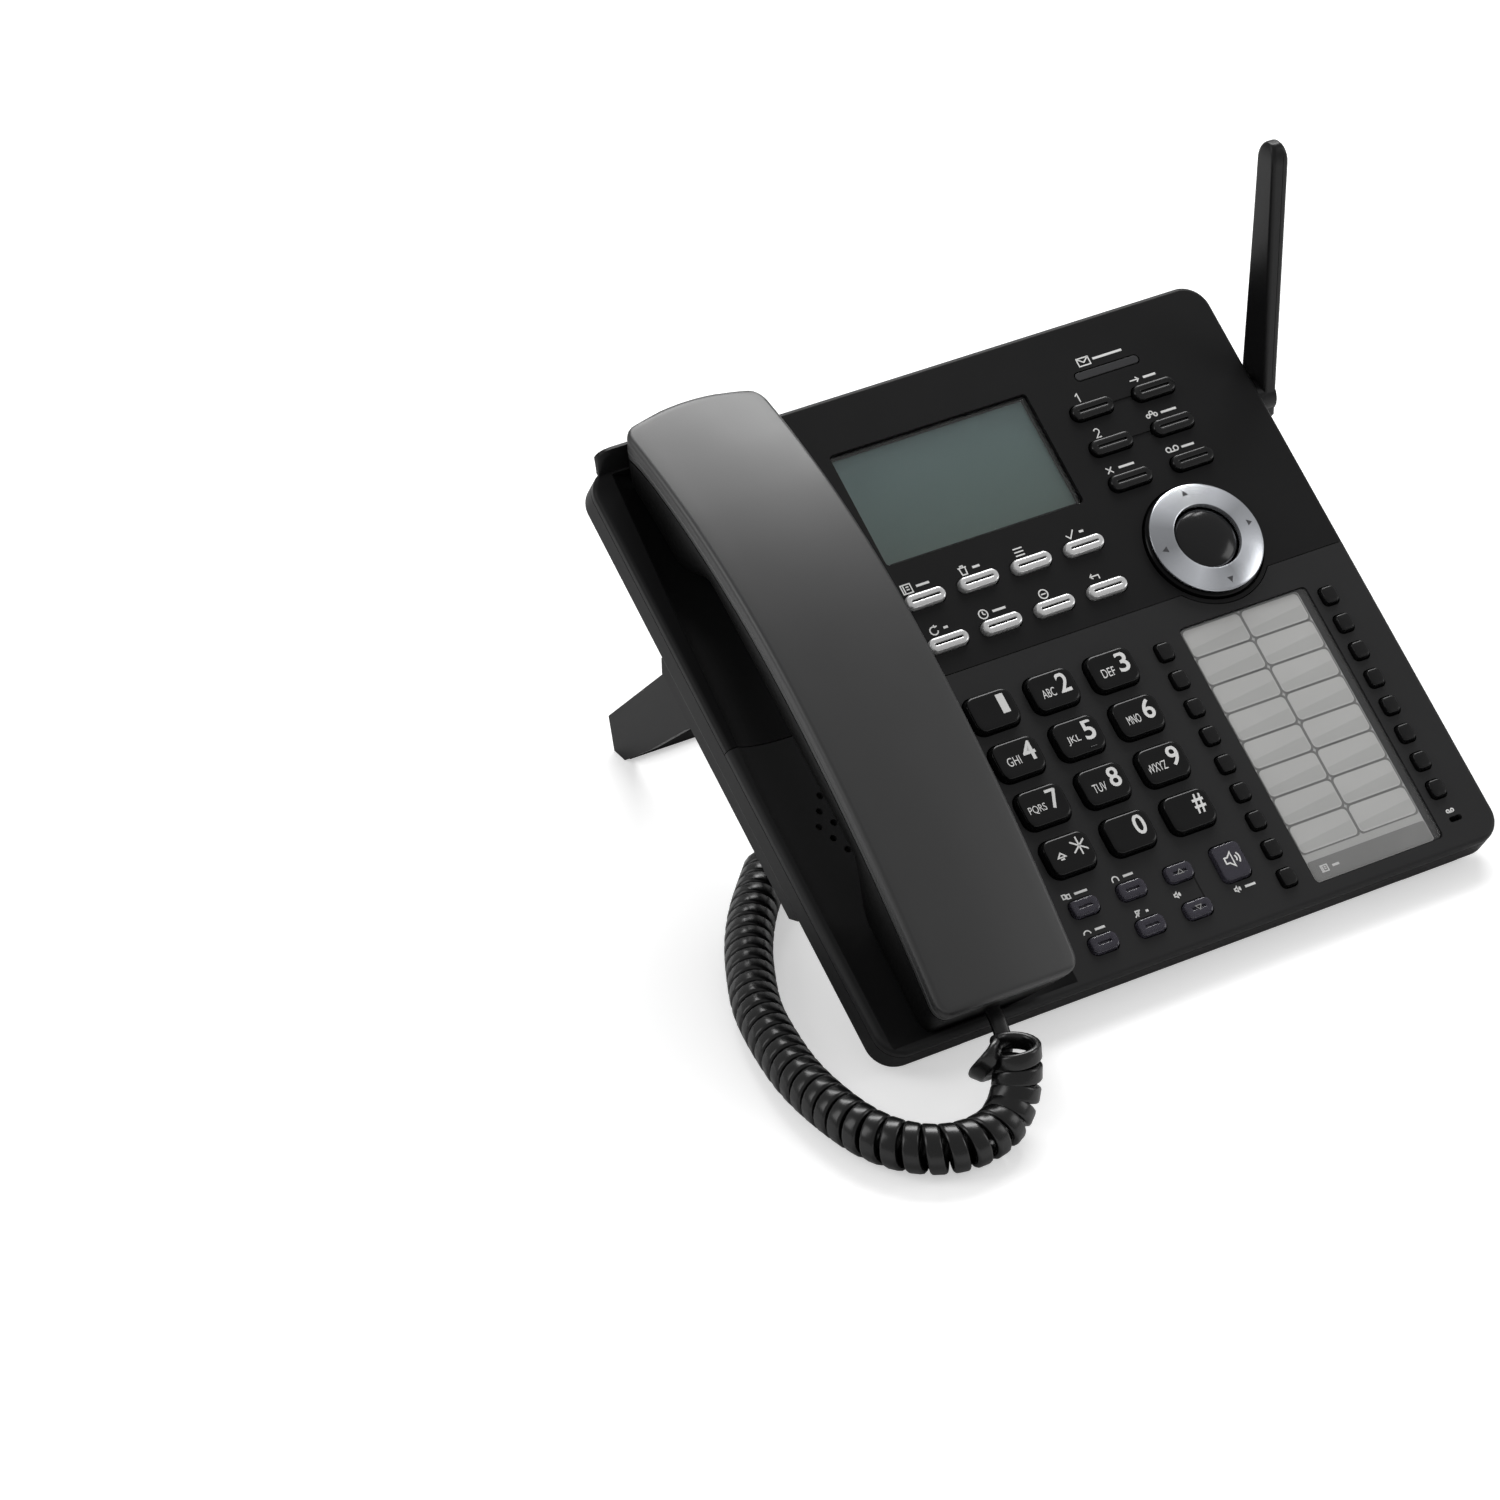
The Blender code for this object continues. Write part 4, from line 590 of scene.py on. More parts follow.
def holes(entries):
    """Cutters for openings, each as (x, y, width, length, corner)."""
    shape = bmesh.new()
    for x, y, width, length, corner in entries:
        slab(width + 2 * SLIT, length + 2 * SLIT, corner + SLIT, -THICK - 2, 4.0, centre=(x, y), into=shape)
    return shape


def grille():
    shape = bmesh.new()
    for row in range(-3, 4):
        count = 7 - abs(row)
        for i in range(count):
            lathe([(0.0, 4.0), (1.1, 4.0), (1.1, -12.0), (0.0, -12.0)],
                  (HANDSET_X + (i - (count - 1) / 2) * 5.2, 74.0 + row * 5.2 * math.sqrt(3) / 2), 14, shape)
    return shape


def panel_blank(name, finish):
    """The whole front panel with the tub and hollow of the cradle."""
    whole = slab(WIDTH, LENGTH, CORNER, -THICK, 0.0, edge=1.6, centre=(WIDTH / 2, LENGTH / 2), steps=14,
                 fillet=6)
    made = add(name, whole, finish)
    inset = WALL + GAP
    tub = slab(CRADLE_RIGHT + 1.6 - inset, LENGTH - 2 * inset, CORNER - inset, -CRADLE_DEPTH - 1.6, -THICK / 2,
               centre=((CRADLE_RIGHT + 1.6 + inset) / 2, LENGTH / 2))
    cut(made, tub, "UNION")
    cut(made, cradle_hollow())
    return made


def lip_shape():
    """The raised lip behind the handset's upper end."""
    inner = LENGTH - RIM
    inside = [(inner + 3.6 * (i / 8) ** 1.15, -1.6 + 8.1 * i / 8) for i in range(9)]
    outer = [(y + 2.0, z) for y, z in reversed(inside)]
    crest = [(inside[-1][0] + 1.0, inside[-1][1] + 0.5)]
    outline = inside + crest + outer
    ends = [(4.0, 0.40), (4.2, 0.62), (4.8, 0.80), (6.0, 0.93), (8.0, 1.0)]
    spans = ends + [(CRADLE_RIGHT - x, rise) for x, rise in reversed(ends)]
    return loft([[(x, y, z * rise) for y, z in outline] for x, rise in spans])


def make_panels(sizes):
    upper = panel_blank("upper_panel_skin", "upper")
    cut(upper, lip_shape(), "UNION")
    cut(upper, split_cutter(False))
    x0, y0, x1, y1 = DISPLAY
    entries = [(*spot, *SOFT_KEY) for spot in SOFT] + [(*spot, *FUNCTION_KEY) for spot in FUNCTION]
    entries += [((x0 + x1) / 2, (y0 + y1) / 2, x1 - x0, y1 - y0, 1.0), (*LAMP, *LAMP_BAR)]
    cut(upper, holes(entries))
    cut(upper, lathe([(0.0, 4.0), (NAV_SKIRT + 0.7, 4.0), (NAV_SKIRT + 0.7, -6.0), (0.0, -6.0)], NAV, 96))
    bands = bmesh.new()
    for row in range(2):
        slab(18.0, 1.6, 0.7, -0.35, 2.0, centre=(172.45, 167.8 - 12.6 * row - 0.2), into=bands)
    cut(upper, bands)
    cut(upper, slab(7.8, 4.8, 0.8, -10.0, -4.0, centre=(HANDSET_X, 168.0)))
    soften(upper, sizes.edge_width)
    give(upper, "base", "upper_panel", slot="upper_panel_plastic")
    lower = panel_blank("lower_panel_skin", "lower")
    cut(lower, split_cutter(True))
    entries = [(*spot, *DIAL_KEY) for spot in DIAL] + [(*spot, *CLEAR_KEY) for spot in CLEAR]
    entries += [(*SPEAKER, *SPEAKER_KEY), (*MIC, *MIC_HOLE)]
    entries += [(*spot, *MEMORY_KEY) for side in MEMORY.values() for spot in side]
    cut(lower, holes(entries))
    x0, y0, x1, y1 = LIST
    cut(lower, slab(x1 - x0 + 0.8, y1 - y0 + 0.8, 1.6, -1.6, 4.0, centre=((x0 + x1) / 2, (y0 + y1) / 2)))
    cut(lower, grille())
    soften(lower, sizes.edge_width)
    give(lower, "base", "lower_panel", slot="lower_panel_plastic")


def skirt_outline():
    """Side outline of a front skirt, flat underneath in the level of the table."""
    level, front = 1.5, 0.8
    drop = (LIFT / MM - level + front * math.sin(TILT)) / math.cos(TILT)
    start_y = front * math.cos(TILT) + drop * math.sin(TILT)
    up = level - LIFT / MM
    end_y = start_y + 9.0
    back = (end_y * math.cos(TILT) + up * math.sin(TILT), -end_y * math.sin(TILT) + up * math.cos(TILT))
    return [(front, -CASE + 2), (front, -drop), back, (back[0] + 4.5, -CASE), (back[0] + 4.5, -CASE + 2)]


def make_case(sizes):
    middle = (WIDTH / 2, LENGTH / 2)
    case = add("case_skin", slab(WIDTH, LENGTH, CORNER, -CASE, -THICK - GAP, under=1.6, centre=middle, steps=14,
                                 fillet=6), "case")
    belly = [(BELLY_FRONT, -9), (BELLY_FRONT, -CASE), (BELLY_FRONT + 3, -BELLY), (BELLY_BACK - 3, -BELLY),
             (BELLY_BACK, -CASE), (BELLY_BACK, -9)]
    cut(case, prism(belly, 0.3, WIDTH - 0.3), "UNION")
    for low, high in SKIRTS:
        cut(case, prism(skirt_outline(), low, high), "UNION")
    cut(case, slab(WIDTH - 2 * WALL, LENGTH - 2 * WALL, CORNER - WALL, -CASE + 1.6, 2.0, centre=middle,
                   steps=14))
    cut(case, slab(WIDTH - 4 * WALL, 77.0, 1.0, -BELLY + 1.6, -CASE + 3.6, centre=(WIDTH / 2, 95.6)))
    ports = bmesh.new()
    for x in (PLUG[0], 62.0, 108.0):
        slab(8.3, 7.2, 0.3, -BELLY - 2, -BELLY + 3.6, centre=(x, PLUG[1]), into=ports)
    for i in range(9):
        slab(1.4, 26.0, 0.7, -BELLY - 2, -BELLY + 1.0, centre=(140.0 + 5.0 * i, 92.0), into=ports)
    tube_along_x(WIDTH - 2.5, WIDTH + 2, ANTENNA_Y, -ANTENNA_DEPTH, 1.6, into=ports)
    cut(case, ports)
    for x, y in ((20.0, 20.0), (196.0, 20.0), (12.0, 180.0), (204.0, 180.0)):
        well = [(0.0, -CASE + 1.1), (2.6, -CASE + 1.1), (2.6, -CASE - 6), (0.0, -CASE - 6)]
        cut(case, lathe(well, (x, y), 24))
    soften(case, sizes.edge_width)
    give(case, "base", "bottom_case", slot="bottom_case_plastic")
    screws = bmesh.new()
    for x, y in ((12.0, 180.0), (204.0, 180.0)):
        lathe([(0.0, -CASE + 0.2), (0.5, -CASE + 0.2), (0.9, -CASE + 0.5), (1.9, -CASE + 0.6),
               (2.2, -CASE + 1.05), (0.0, -CASE + 1.05)], (x, y), 24, screws)
    give(add("case_screws", screws, "steel"), "base", slot="capsule_steel")


# Keys and their print

def cap(width, length, corner, rise, rounding, crown=0.0, low=-4.0, steps=8, draft=0.25, into=None,
        centre=(0.0, 0.0)):
    """A key cap with drafted sides, a rolled edge and a crowned or dished top."""
    levels = [(low, 0.0), (0.0, 0.0), (rise - rounding, draft)]
    levels += [(rise - rounding + rounding * math.sin(math.pi / 2 * i / 5),
                draft + rounding * (1 - math.cos(math.pi / 2 * i / 5))) for i in range(1, 6)]
    reach = min(width, length) / 2 - draft - rounding
    for part in (0.25, 0.5, 0.75, 0.94):
        levels.append((rise + crown * math.sin(math.pi / 2 * part), draft + rounding + reach * part))
    return loft([inset_ring(width, length, corner, inset, inset * 0.8, z, steps, centre) for z, inset in levels],
                into)


def flange(width, length, corner, into):
    return slab(width + 2.6, length + 2.6, corner + 1.3, -4.1, -3.3, into=into)


def text_mesh(body, width, height, bold):
    """Letters or a digit as a flat mesh of a given width and height about its middle, in metres."""
    curve = bpy.data.curves.new("print", "FONT")
    curve.body = body
    curve.size = height / 0.72
    curve.offset = bold * height
    curve.extrude = 0.00002
    curve.resolution_u = 6
    made = bpy.data.objects.new("print", curve)
    bpy.context.scene.collection.objects.link(made)
    bpy.context.view_layer.update()
    mesh = bpy.data.meshes.new_from_object(made.evaluated_get(bpy.context.evaluated_depsgraph_get()))
    bpy.data.objects.remove(made, do_unlink=True)
    low = [min(v.co[i] for v in mesh.vertices) for i in (0, 1)]
    high = [max(v.co[i] for v in mesh.vertices) for i in (0, 1)]
    mesh.transform(Matrix.Translation((-(low[0] + high[0]) / 2, -(low[1] + high[1]) / 2, 0.0)))
    mesh.transform(Matrix.Diagonal((width / (high[0] - low[0]), height / (high[1] - low[1]), 1.0, 1.0)))
    return mesh


def merged(name, meshes, finish, place):
    """One object from several placed meshes, each as (mesh, matrix)."""
    whole = bmesh.new()
    for mesh, matrix in meshes:
        part = mesh.copy()
        part.transform(matrix)
        whole.from_mesh(part)
        bpy.data.meshes.remove(part)
    mesh = bpy.data.meshes.new(name)
    whole.to_mesh(mesh)
    whole.free()
    made = bpy.data.objects.new(name, mesh)
    bpy.context.scene.collection.objects.link(made)
    made.matrix_world = place
    mesh.materials.append(FINISH[finish])
    return made


DIAL_TEXT = {"1": ("1", ""), "2": ("2", "ABC"), "3": ("3", "DEF"), "4": ("4", "GHI"), "5": ("5", "JKL"),
             "6": ("6", "MNO"), "7": ("7", "PQRS"), "8": ("8", "TUV"), "9": ("9", "WXYZ"), "star": ("*", ""),
             "0": ("0", ""), "hash": ("#", "")}


def make_dial_keys(sizes):
    for name, (x, y) in zip(DIAL_NAMES, DIAL):
        place = on_panel((x, y))
        shape = cap(*DIAL_KEY, DIAL_RISE, 0.9, crown=-0.12, draft=0.35)
        flange(*DIAL_KEY, shape)
        key = add("dial_key_cap_" + name, shape, "dial", place)
        give(key, f"dial_key_{name}_body", "dial_key_" + name, slot="dial_key_plastic")
        digit, letters = DIAL_TEXT[name]
        level = (DIAL_RISE - 0.05) * MM
        wide = {"1": 2.5, "4": 4.2}.get(digit, 3.8) * MM
        parts = []
        if digit == "*":
            marks = icons([("star", 3.6, 1.1, 2.9), ("shift", -3.2, -0.6, 2.2)], 2.57, 0.5)
            give(add("dial_print_star", marks, "print", place), "dial_key_star_body", slot="dial_key_plastic")
        else:
            parts = [(text_mesh(digit, wide, sizes.digit_height, 0.02),
                      Matrix.Translation((3.6 * MM, 1.0 * MM, level)))]
        if letters:
            span = {"PQRS": 5.9, "WXYZ": 6.6}.get(letters, 4.5)
            parts.append((text_mesh(letters, span * MM, sizes.letter_height, 0.0),
                          Matrix.Translation(((-0.4 - span / 2 + 0.1 * span) * MM, -0.75 * MM, level))))
        if parts:
            printed = merged("dial_print_" + name, parts, "print", place)
            give(printed, f"dial_key_{name}_body", slot="dial_key_plastic")
        if name == "5":
            bar = slab(2.6, 0.5, 0.24, 2.3, 2.85, edge=0.2, centre=(2.6, -4.6))
            give(add("dial_key_touch_bar", bar, "dial", place), "dial_key_5_body", slot="dial_key_plastic")


def bar_key(width, length, rise, corner=None):
    """A rounded bar key with a narrow lengthwise groove between two soft ridges."""
    half = length / 2
    corner = corner or half
    profile = [(0.0, -4.0), (0.0, 0.2), (0.05, rise - 0.85), (0.15, rise - 0.42), (0.36, rise - 0.13),
               (0.68, rise), (half - 0.58, rise), (half - 0.42, rise - 0.08), (half - 0.33, rise - 0.35),
               (half - 0.29, rise - 0.78), (half - 0.05, rise - 0.80)]
    shape = loft([inset_ring(width, length, corner, inset, inset + 0.03, z, 10) for inset, z in profile])
    flange(width, length, corner - 0.1, shape)
    return shape


def groove_shade_slab(width, length, rise):
    """The dark bottom of a bar key's groove."""
    return slab(width - length + 0.5, 0.56, 0.27, rise - 0.85, rise - 0.60)


def make_bar_keys(sizes):
    names = [f"soft_key_{row}_{column}" for row in ("upper", "lower") for column in range(1, 5)]
    for name, (x, y) in zip(names, SOFT):
        place = on_panel((x, y))
        width, length, _ = SOFT_KEY
        give(add(name + "_cap", bar_key(width, length, BAR_RISE), "silver", place), name + "_body", name,
             slot="silver_key_finish")
        # Painted shade: a dark slab lies in the groove of each silver key
        give(add(name + "_groove_shade", groove_shade_slab(width, length, BAR_RISE), "dark", place), name + "_body",
             slot="silver_key_finish")
    names = [f"function_key_{row}_{side}" for row in range(1, 4) for side in ("left", "right")]
    for name, (x, y) in zip(names, FUNCTION):
        place = on_panel((x, y))
        width, length, _ = FUNCTION_KEY
        give(add(name + "_cap", bar_key(width, length, BAR_RISE), "function", place), name + "_body", name,
             slot="function_key_plastic")


def make_clear_keys(sizes):
    names = [f"clear_key_{row}_{column}" for row in ("upper", "lower") for column in range(1, 4)]
    for name, (x, y) in zip(names, CLEAR):
        place = on_panel((x, y))
        width, length, corner = CLEAR_KEY
        shape = bar_key(width, length, CLEAR_RISE, corner)
        give(add(name + "_cap", shape, "smoke", place), name + "_body", name, slot="smoke_clear_plastic")
    place = on_panel(SPEAKER)
    shape = cap(*SPEAKER_KEY, CLEAR_RISE, 0.5, crown=0.1)
    flange(*SPEAKER_KEY, shape)
    give(add("speaker_key_cap", shape, "smoke", place), "speaker_key_body", "speaker_key",
         slot="smoke_clear_plastic")


def make_memory_keys(sizes):
    for side, places in MEMORY.items():
        x0, y0 = places[0]
        span = y0 - places[-1][1]
        shape = slab(11.2, span + 7.6, 0.9, -4.1, -3.3, centre=(0.0, -span / 2))
        for x, y in places:
            cap(*MEMORY_KEY, MEMORY_RISE, 0.6, crown=0.08, low=-3.6, steps=6, into=shape, centre=(0.0, y - y0))
        place = on_panel((x0, y0))
        name = "memory_keys_" + side
        give(add(name + "_strip", shape, "memory", place), name + "_body", name, slot="memory_key_plastic")


def make_navigation(sizes):
    place = on_panel(NAV)
    inner = NAV_HUB + 0.6
    skirt = [(NAV_SKIRT - 0.3, 1.0), (NAV_SKIRT, 0.7), (NAV_SKIRT, -3.3), (inner, -3.3), (inner, 1.75),
             (17.5, 1.45), (NAV_RING, 1.05)]
    give(add("nav_rocker_skirt", lathe(skirt, sides=96), "skirt", place), "nav_rocker_body", "nav_rocker",
         slot="navigation_skirt_plastic")
    ring = [(NAV_RING, 2.95), (NAV_RING - 0.05, 2.3), (NAV_RING - 0.15, 2.2), (inner, 2.2), (inner, 3.75),
            (inner + 0.15, 4.1), (inner + 0.5, 4.2)]
    ring += [(inner + 0.5 + (NAV_RING - inner - 1.0) * i / 8, 4.2 - 0.95 * (i / 8) ** 1.6) for i in range(1, 9)]
    ring += [(NAV_RING - 0.15, 3.12)]
    give(add("nav_ring_chrome", lathe(ring, sides=120), "chrome", place, angle=50), "nav_ring_body", "nav_ring",
         slot="chrome_finish")
    arrows = bmesh.new()
    for i in range(4):
        angle = math.pi / 2 * i
        points = []
        for x, y in ((16.2, 0.0), (14.4, 1.0), (14.4, -1.0)):
            way_out = max(math.hypot(x, y) - inner - 0.5, 0.0) / (NAV_RING - inner - 1.0)
            points.append((x * math.cos(angle) - y * math.sin(angle), x * math.sin(angle) + y * math.cos(angle),
                           4.2 - 0.95 * way_out ** 1.6))
        loft([[(x, y, z + lift) for x, y, z in points] for lift in (-0.02, 0.05)], into=arrows)
    give(add("nav_arrows", arrows, "arrow", place), "nav_ring_body", slot="chrome_finish")
    dome = [(0.0, 4.2)] + [(NAV_HUB * math.sin(a), 1.9 + 2.3 * math.cos(a) ** 0.9)
                           for a in (math.pi / 2 * i / 14 for i in range(1, 14))]
    dome += [(NAV_HUB, 1.9), (NAV_HUB, -3.3), (0.0, -3.3)]
    give(add("nav_button_dome", lathe(dome, sides=96), "hub", place, angle=50), "nav_button_body", "nav_button",
         slot="gloss_black_plastic")


# Display, memory list and print on the panels

def make_display(sizes):
    x0, y0, x1, y1 = DISPLAY
    centre = ((x0 + x1) / 2, (y0 + y1) / 2)
    glass = slab(x1 - x0, y1 - y0, 1.0, -2.2, -1.0, edge=0.15, centre=centre, fillet=2)
    give(add("display_window", glass, "lens"), "base", "display_lens", slot="display_lens_plastic")
    module = slab(x1 - x0 + 4, y1 - y0 + 4, 1.0, -4.9, -3.3, centre=centre)
    module = add("display_crystal", module, "display")
    give(module, "base", "display_module", slot="display_module_glass")
    frame_shape = slab(x1 - x0 + 0.6, y1 - y0 + 0.6, 1.0, -3.28, -2.3, centre=centre)
    border = add("display_border", frame_shape, "dark")
    cut(border, slab(x1 - x0 - 1.6, y1 - y0 - 1.6, 0.6, -5.0, 1.0, centre=centre))
    give(border, "base", slot="display_module_glass")
    lamp = cap(*LAMP_BAR, 0.1, 0.1, low=-3.3, draft=0.02)
    flange(*LAMP_BAR, lamp)
    place = on_panel(LAMP)
    give(add("message_lamp_bar", lamp, "lamp", place), "base", "message_lamp", slot="lamp_plastic")


def make_memory_list(sizes):
    x0, y0, x1, y1 = LIST
    centre = ((x0 + x1) / 2, (y0 + y1) / 2)
    strip = 2.3
    give(add("list_card_sheet", slab(x1 - x0 - 0.2 - strip, y1 - y0 - 0.2, 1.0, -1.3, -1.0,
                                     centre=(centre[0] - strip / 2, centre[1])), "card"),
         "base", "list_card", slot="list_card_paper")
    lines, cells, bands, low = bmesh.new(), bmesh.new(), bmesh.new(), bmesh.new()
    width, pitch = (x1 - x0 - 1.0 - strip) / 2, MEMORY_PITCH
    for row in range(8):
        for column in range(2):
            cx = x0 + 0.3 + width / 2 + column * (width + 0.3)
            cy = y1 - 5.0 - pitch * row
            slab(width + 0.3, pitch + 0.3, 1.2, -1.0, -0.985, centre=(cx, cy), into=lines)
            slab(width - 0.6, pitch - 0.75, 1.5, -1.0, -0.970, centre=(cx, cy), into=cells)
            half_x, half_y = width / 2 - 0.7, pitch / 2 - 0.9
            band = [(-half_x, -half_y), (half_x, -half_y), (half_x, half_y * 0.1), (-half_x, -half_y * 0.4)]
            loft([[(cx + x, cy + y, z) for x, y in band] for z in (-1.0, -0.955)], into=bands)
    slab(x1 - x0 - 0.6 - strip, 6.6, 0.8, -1.0, -0.97, centre=(centre[0] - strip / 2, y0 + 3.6), into=low)
    for name, shape, finish in (("list_cell_lines", lines, "card_line"), ("list_cells", cells, "card_cell"),
                                ("list_cell_bands", bands, "card_strip"),
                                ("list_lower_strip", low, "card_low")):
        give(add(name, shape, finish), "base", slot="list_card_paper")
    sheet = slab(x1 - x0, y1 - y0, 1.6, -0.72, -0.12, edge=0.12, centre=centre, fillet=2)
    give(add("list_cover_sheet", sheet, "cover"), "base", "list_cover", slot="list_cover_plastic")


def arc(cx, cy, radius, start, end, steps=10):
    return [(cx + radius * math.cos(math.radians(start + (end - start) * i / steps)),
             cy + radius * math.sin(math.radians(start + (end - start) * i / steps))) for i in range(steps + 1)]


def box_line(x0, y0, x1, y1):
    return [(x0, y0), (x1, y0), (x1, y1), (x0, y1), (x0, y0)]


BAR_WIDTH = 0.75
ICONS = {
    "star": [[(0.0, -1.0), (0.0, 1.0)], [(-0.85, -0.62), (0.85, 0.62)], [(-0.85, 0.62), (0.85, -0.62)]],
    "shift": [[(-0.6, 0.0), (0.0, 0.6), (0.6, 0.0), (-0.6, 0.0)], [(-0.3, -0.3), (0.3, -0.3)]],
    "bar": [[(-1.0, 0.0), (1.0, 0.0)]],
    "up": [[(-0.5, -0.35), (0.0, 0.4), (0.5, -0.35), (-0.5, -0.35)]],
    "down_mark": [[(-0.5, 0.35), (0.0, -0.4), (0.5, 0.35), (-0.5, 0.35)]],
    "envelope": [box_line(-0.7, -0.45, 0.7, 0.45), [(-0.7, 0.45), (0.0, -0.1), (0.7, 0.45)]],
    "book": [box_line(-0.55, -0.5, 0.55, 0.5), [(-0.3, -0.5), (-0.3, 0.5)], [(-0.05, 0.2), (0.3, 0.2)],
             [(-0.05, -0.1), (0.3, -0.1)]],
    "bin": [[(-0.35, 0.25), (-0.28, -0.5), (0.28, -0.5), (0.35, 0.25)], [(-0.5, 0.3), (0.5, 0.3)],
            [(-0.15, 0.3), (-0.15, 0.5), (0.15, 0.5), (0.15, 0.3)]],
    "menu": [[(-0.55, 0.4), (0.55, 0.4)], [(-0.55, 0.0), (0.55, 0.0)], [(-0.55, -0.4), (0.55, -0.4)]],
    "tick": [[(-0.5, 0.0), (-0.12, -0.42), (0.55, 0.45)]],
    "again": [arc(0, 0, 0.45, 60, 350), [(0.2, 0.62), (0.25, 0.36), (0.52, 0.44)]],
    "clock": [arc(0, 0, 0.5, 0, 360, 16), [(0.0, 0.32), (0.0, 0.0), (0.24, -0.1)]],
    "rest": [arc(0, 0, 0.5, 0, 360, 16), [(-0.28, 0.0), (0.28, 0.0)]],
    "back": [[(0.5, -0.35), (0.5, 0.1), (-0.45, 0.1)], [(-0.2, 0.38), (-0.48, 0.1), (-0.2, -0.18)]],
    "arrow": [[(-0.55, 0.0), (0.5, 0.0)], [(0.22, 0.3), (0.52, 0.0), (0.22, -0.3)]],
    "group": [arc(-0.45, 0, 0.2, 0, 360, 10), arc(0.45, 0, 0.2, 0, 360, 10), arc(0, 0.3, 0.2, 0, 360, 10)],
    "reels": [arc(-0.45, 0.1, 0.28, 0, 360, 12), arc(0.45, 0.1, 0.28, 0, 360, 12),
              [(-0.45, -0.18), (0.45, -0.18)]],
    "cross": [[(-0.35, -0.35), (0.35, 0.35)], [(-0.35, 0.35), (0.35, -0.35)]],
    "one": [[(-0.25, 0.25), (0.05, 0.5), (0.05, -0.5)]],
    "two": [arc(0.0, 0.2, 0.3, 160, -40, 8) + [(-0.3, -0.5), (0.32, -0.5)]],
    "pair": [box_line(-0.6, -0.25, -0.1, 0.4), box_line(0.1, -0.4, 0.6, 0.25)],
    "ears": [arc(0, -0.1, 0.5, 0, 180), [(-0.5, -0.1), (-0.5, -0.45)], [(0.5, -0.1), (0.5, -0.45)]],
    "silent": [arc(0, 0.1, 0.22, 180, 360, 6) + [(0.22, 0.45), (-0.22, 0.45), (-0.22, 0.1)],
               [(0.0, -0.12), (0.0, -0.45)], [(-0.55, -0.45), (0.55, 0.5)]],
    "down": [arc(0, -0.35, 0.6, 30, 150, 8), [(-0.52, -0.05), (-0.6, -0.3)], [(0.52, -0.05), (0.6, -0.3)]],
    "sound": [[(-0.5, -0.2), (-0.5, 0.2), (-0.25, 0.2), (0.05, 0.5), (0.05, -0.5), (-0.25, -0.2), (-0.5, -0.2)],
              arc(0.05, 0, 0.3, -40, 40, 6), arc(0.05, 0, 0.52, -40, 40, 6)],
}


def stroke(shape, points, width, level):
    """A flat line of one width through points, with mitred corners."""
    closed = math.dist(points[0], points[-1]) < 1e-6
    points = points[:-1] if closed else points
    count = len(points)
    rims = []
    for i, (x, y) in enumerate(points):
        before = points[i - 1] if i or closed else points[i]
        after = points[(i + 1) % count] if i < count - 1 or closed else points[i]
        ways = [Vector((b[0] - a[0], b[1] - a[1])) for a, b in ((before, (x, y)), ((x, y), after)) if a != b]
        way = sum((w.normalized() for w in ways), Vector((0.0, 0.0))).normalized()
        side = Vector((-way.y, way.x)) * (width / 2 / max(way.dot(ways[0].normalized()), 0.5))
        rims.append([shape.verts.new((x + turn * side.x, y + turn * side.y, z))
                     for turn, z in ((1, level), (-1, level), (-1, level - 0.04), (1, level - 0.04))])
    pairs = list(zip(rims, rims[1:])) + ([(rims[-1], rims[0])] if closed else [])
    for first, second in pairs:
        for i in range(4):
            j = (i + 1) % 4
            shape.faces.new((first[i], first[j], second[j], second[i]))
    if not closed:
        shape.faces.new(list(reversed(rims[0])))
        shape.faces.new(rims[-1])


def icons(entries, level, width=0.40):
    """Pictograms, each as (name, x, y, size)."""
    shape = bmesh.new()
    for name, x, y, size in entries:
        for line in ICONS[name]:
            points = [(x + px * size, y + py * size) for px, py in line]
            stroke(shape, points, BAR_WIDTH if name == "bar" else width, level)
    return shape


def label(name, x, y, width, size=2.9):
    """A pictogram with a small bar beside it, centred as a printed caption would be."""
    bar = max(width - size - 0.8, 0.0)
    marks = [(name, x - bar / 2 - 0.5, y, size)]
    return marks + [("bar", x + size / 2 + 0.9, y, bar / 2 - 0.4)] if bar > 1.6 else marks


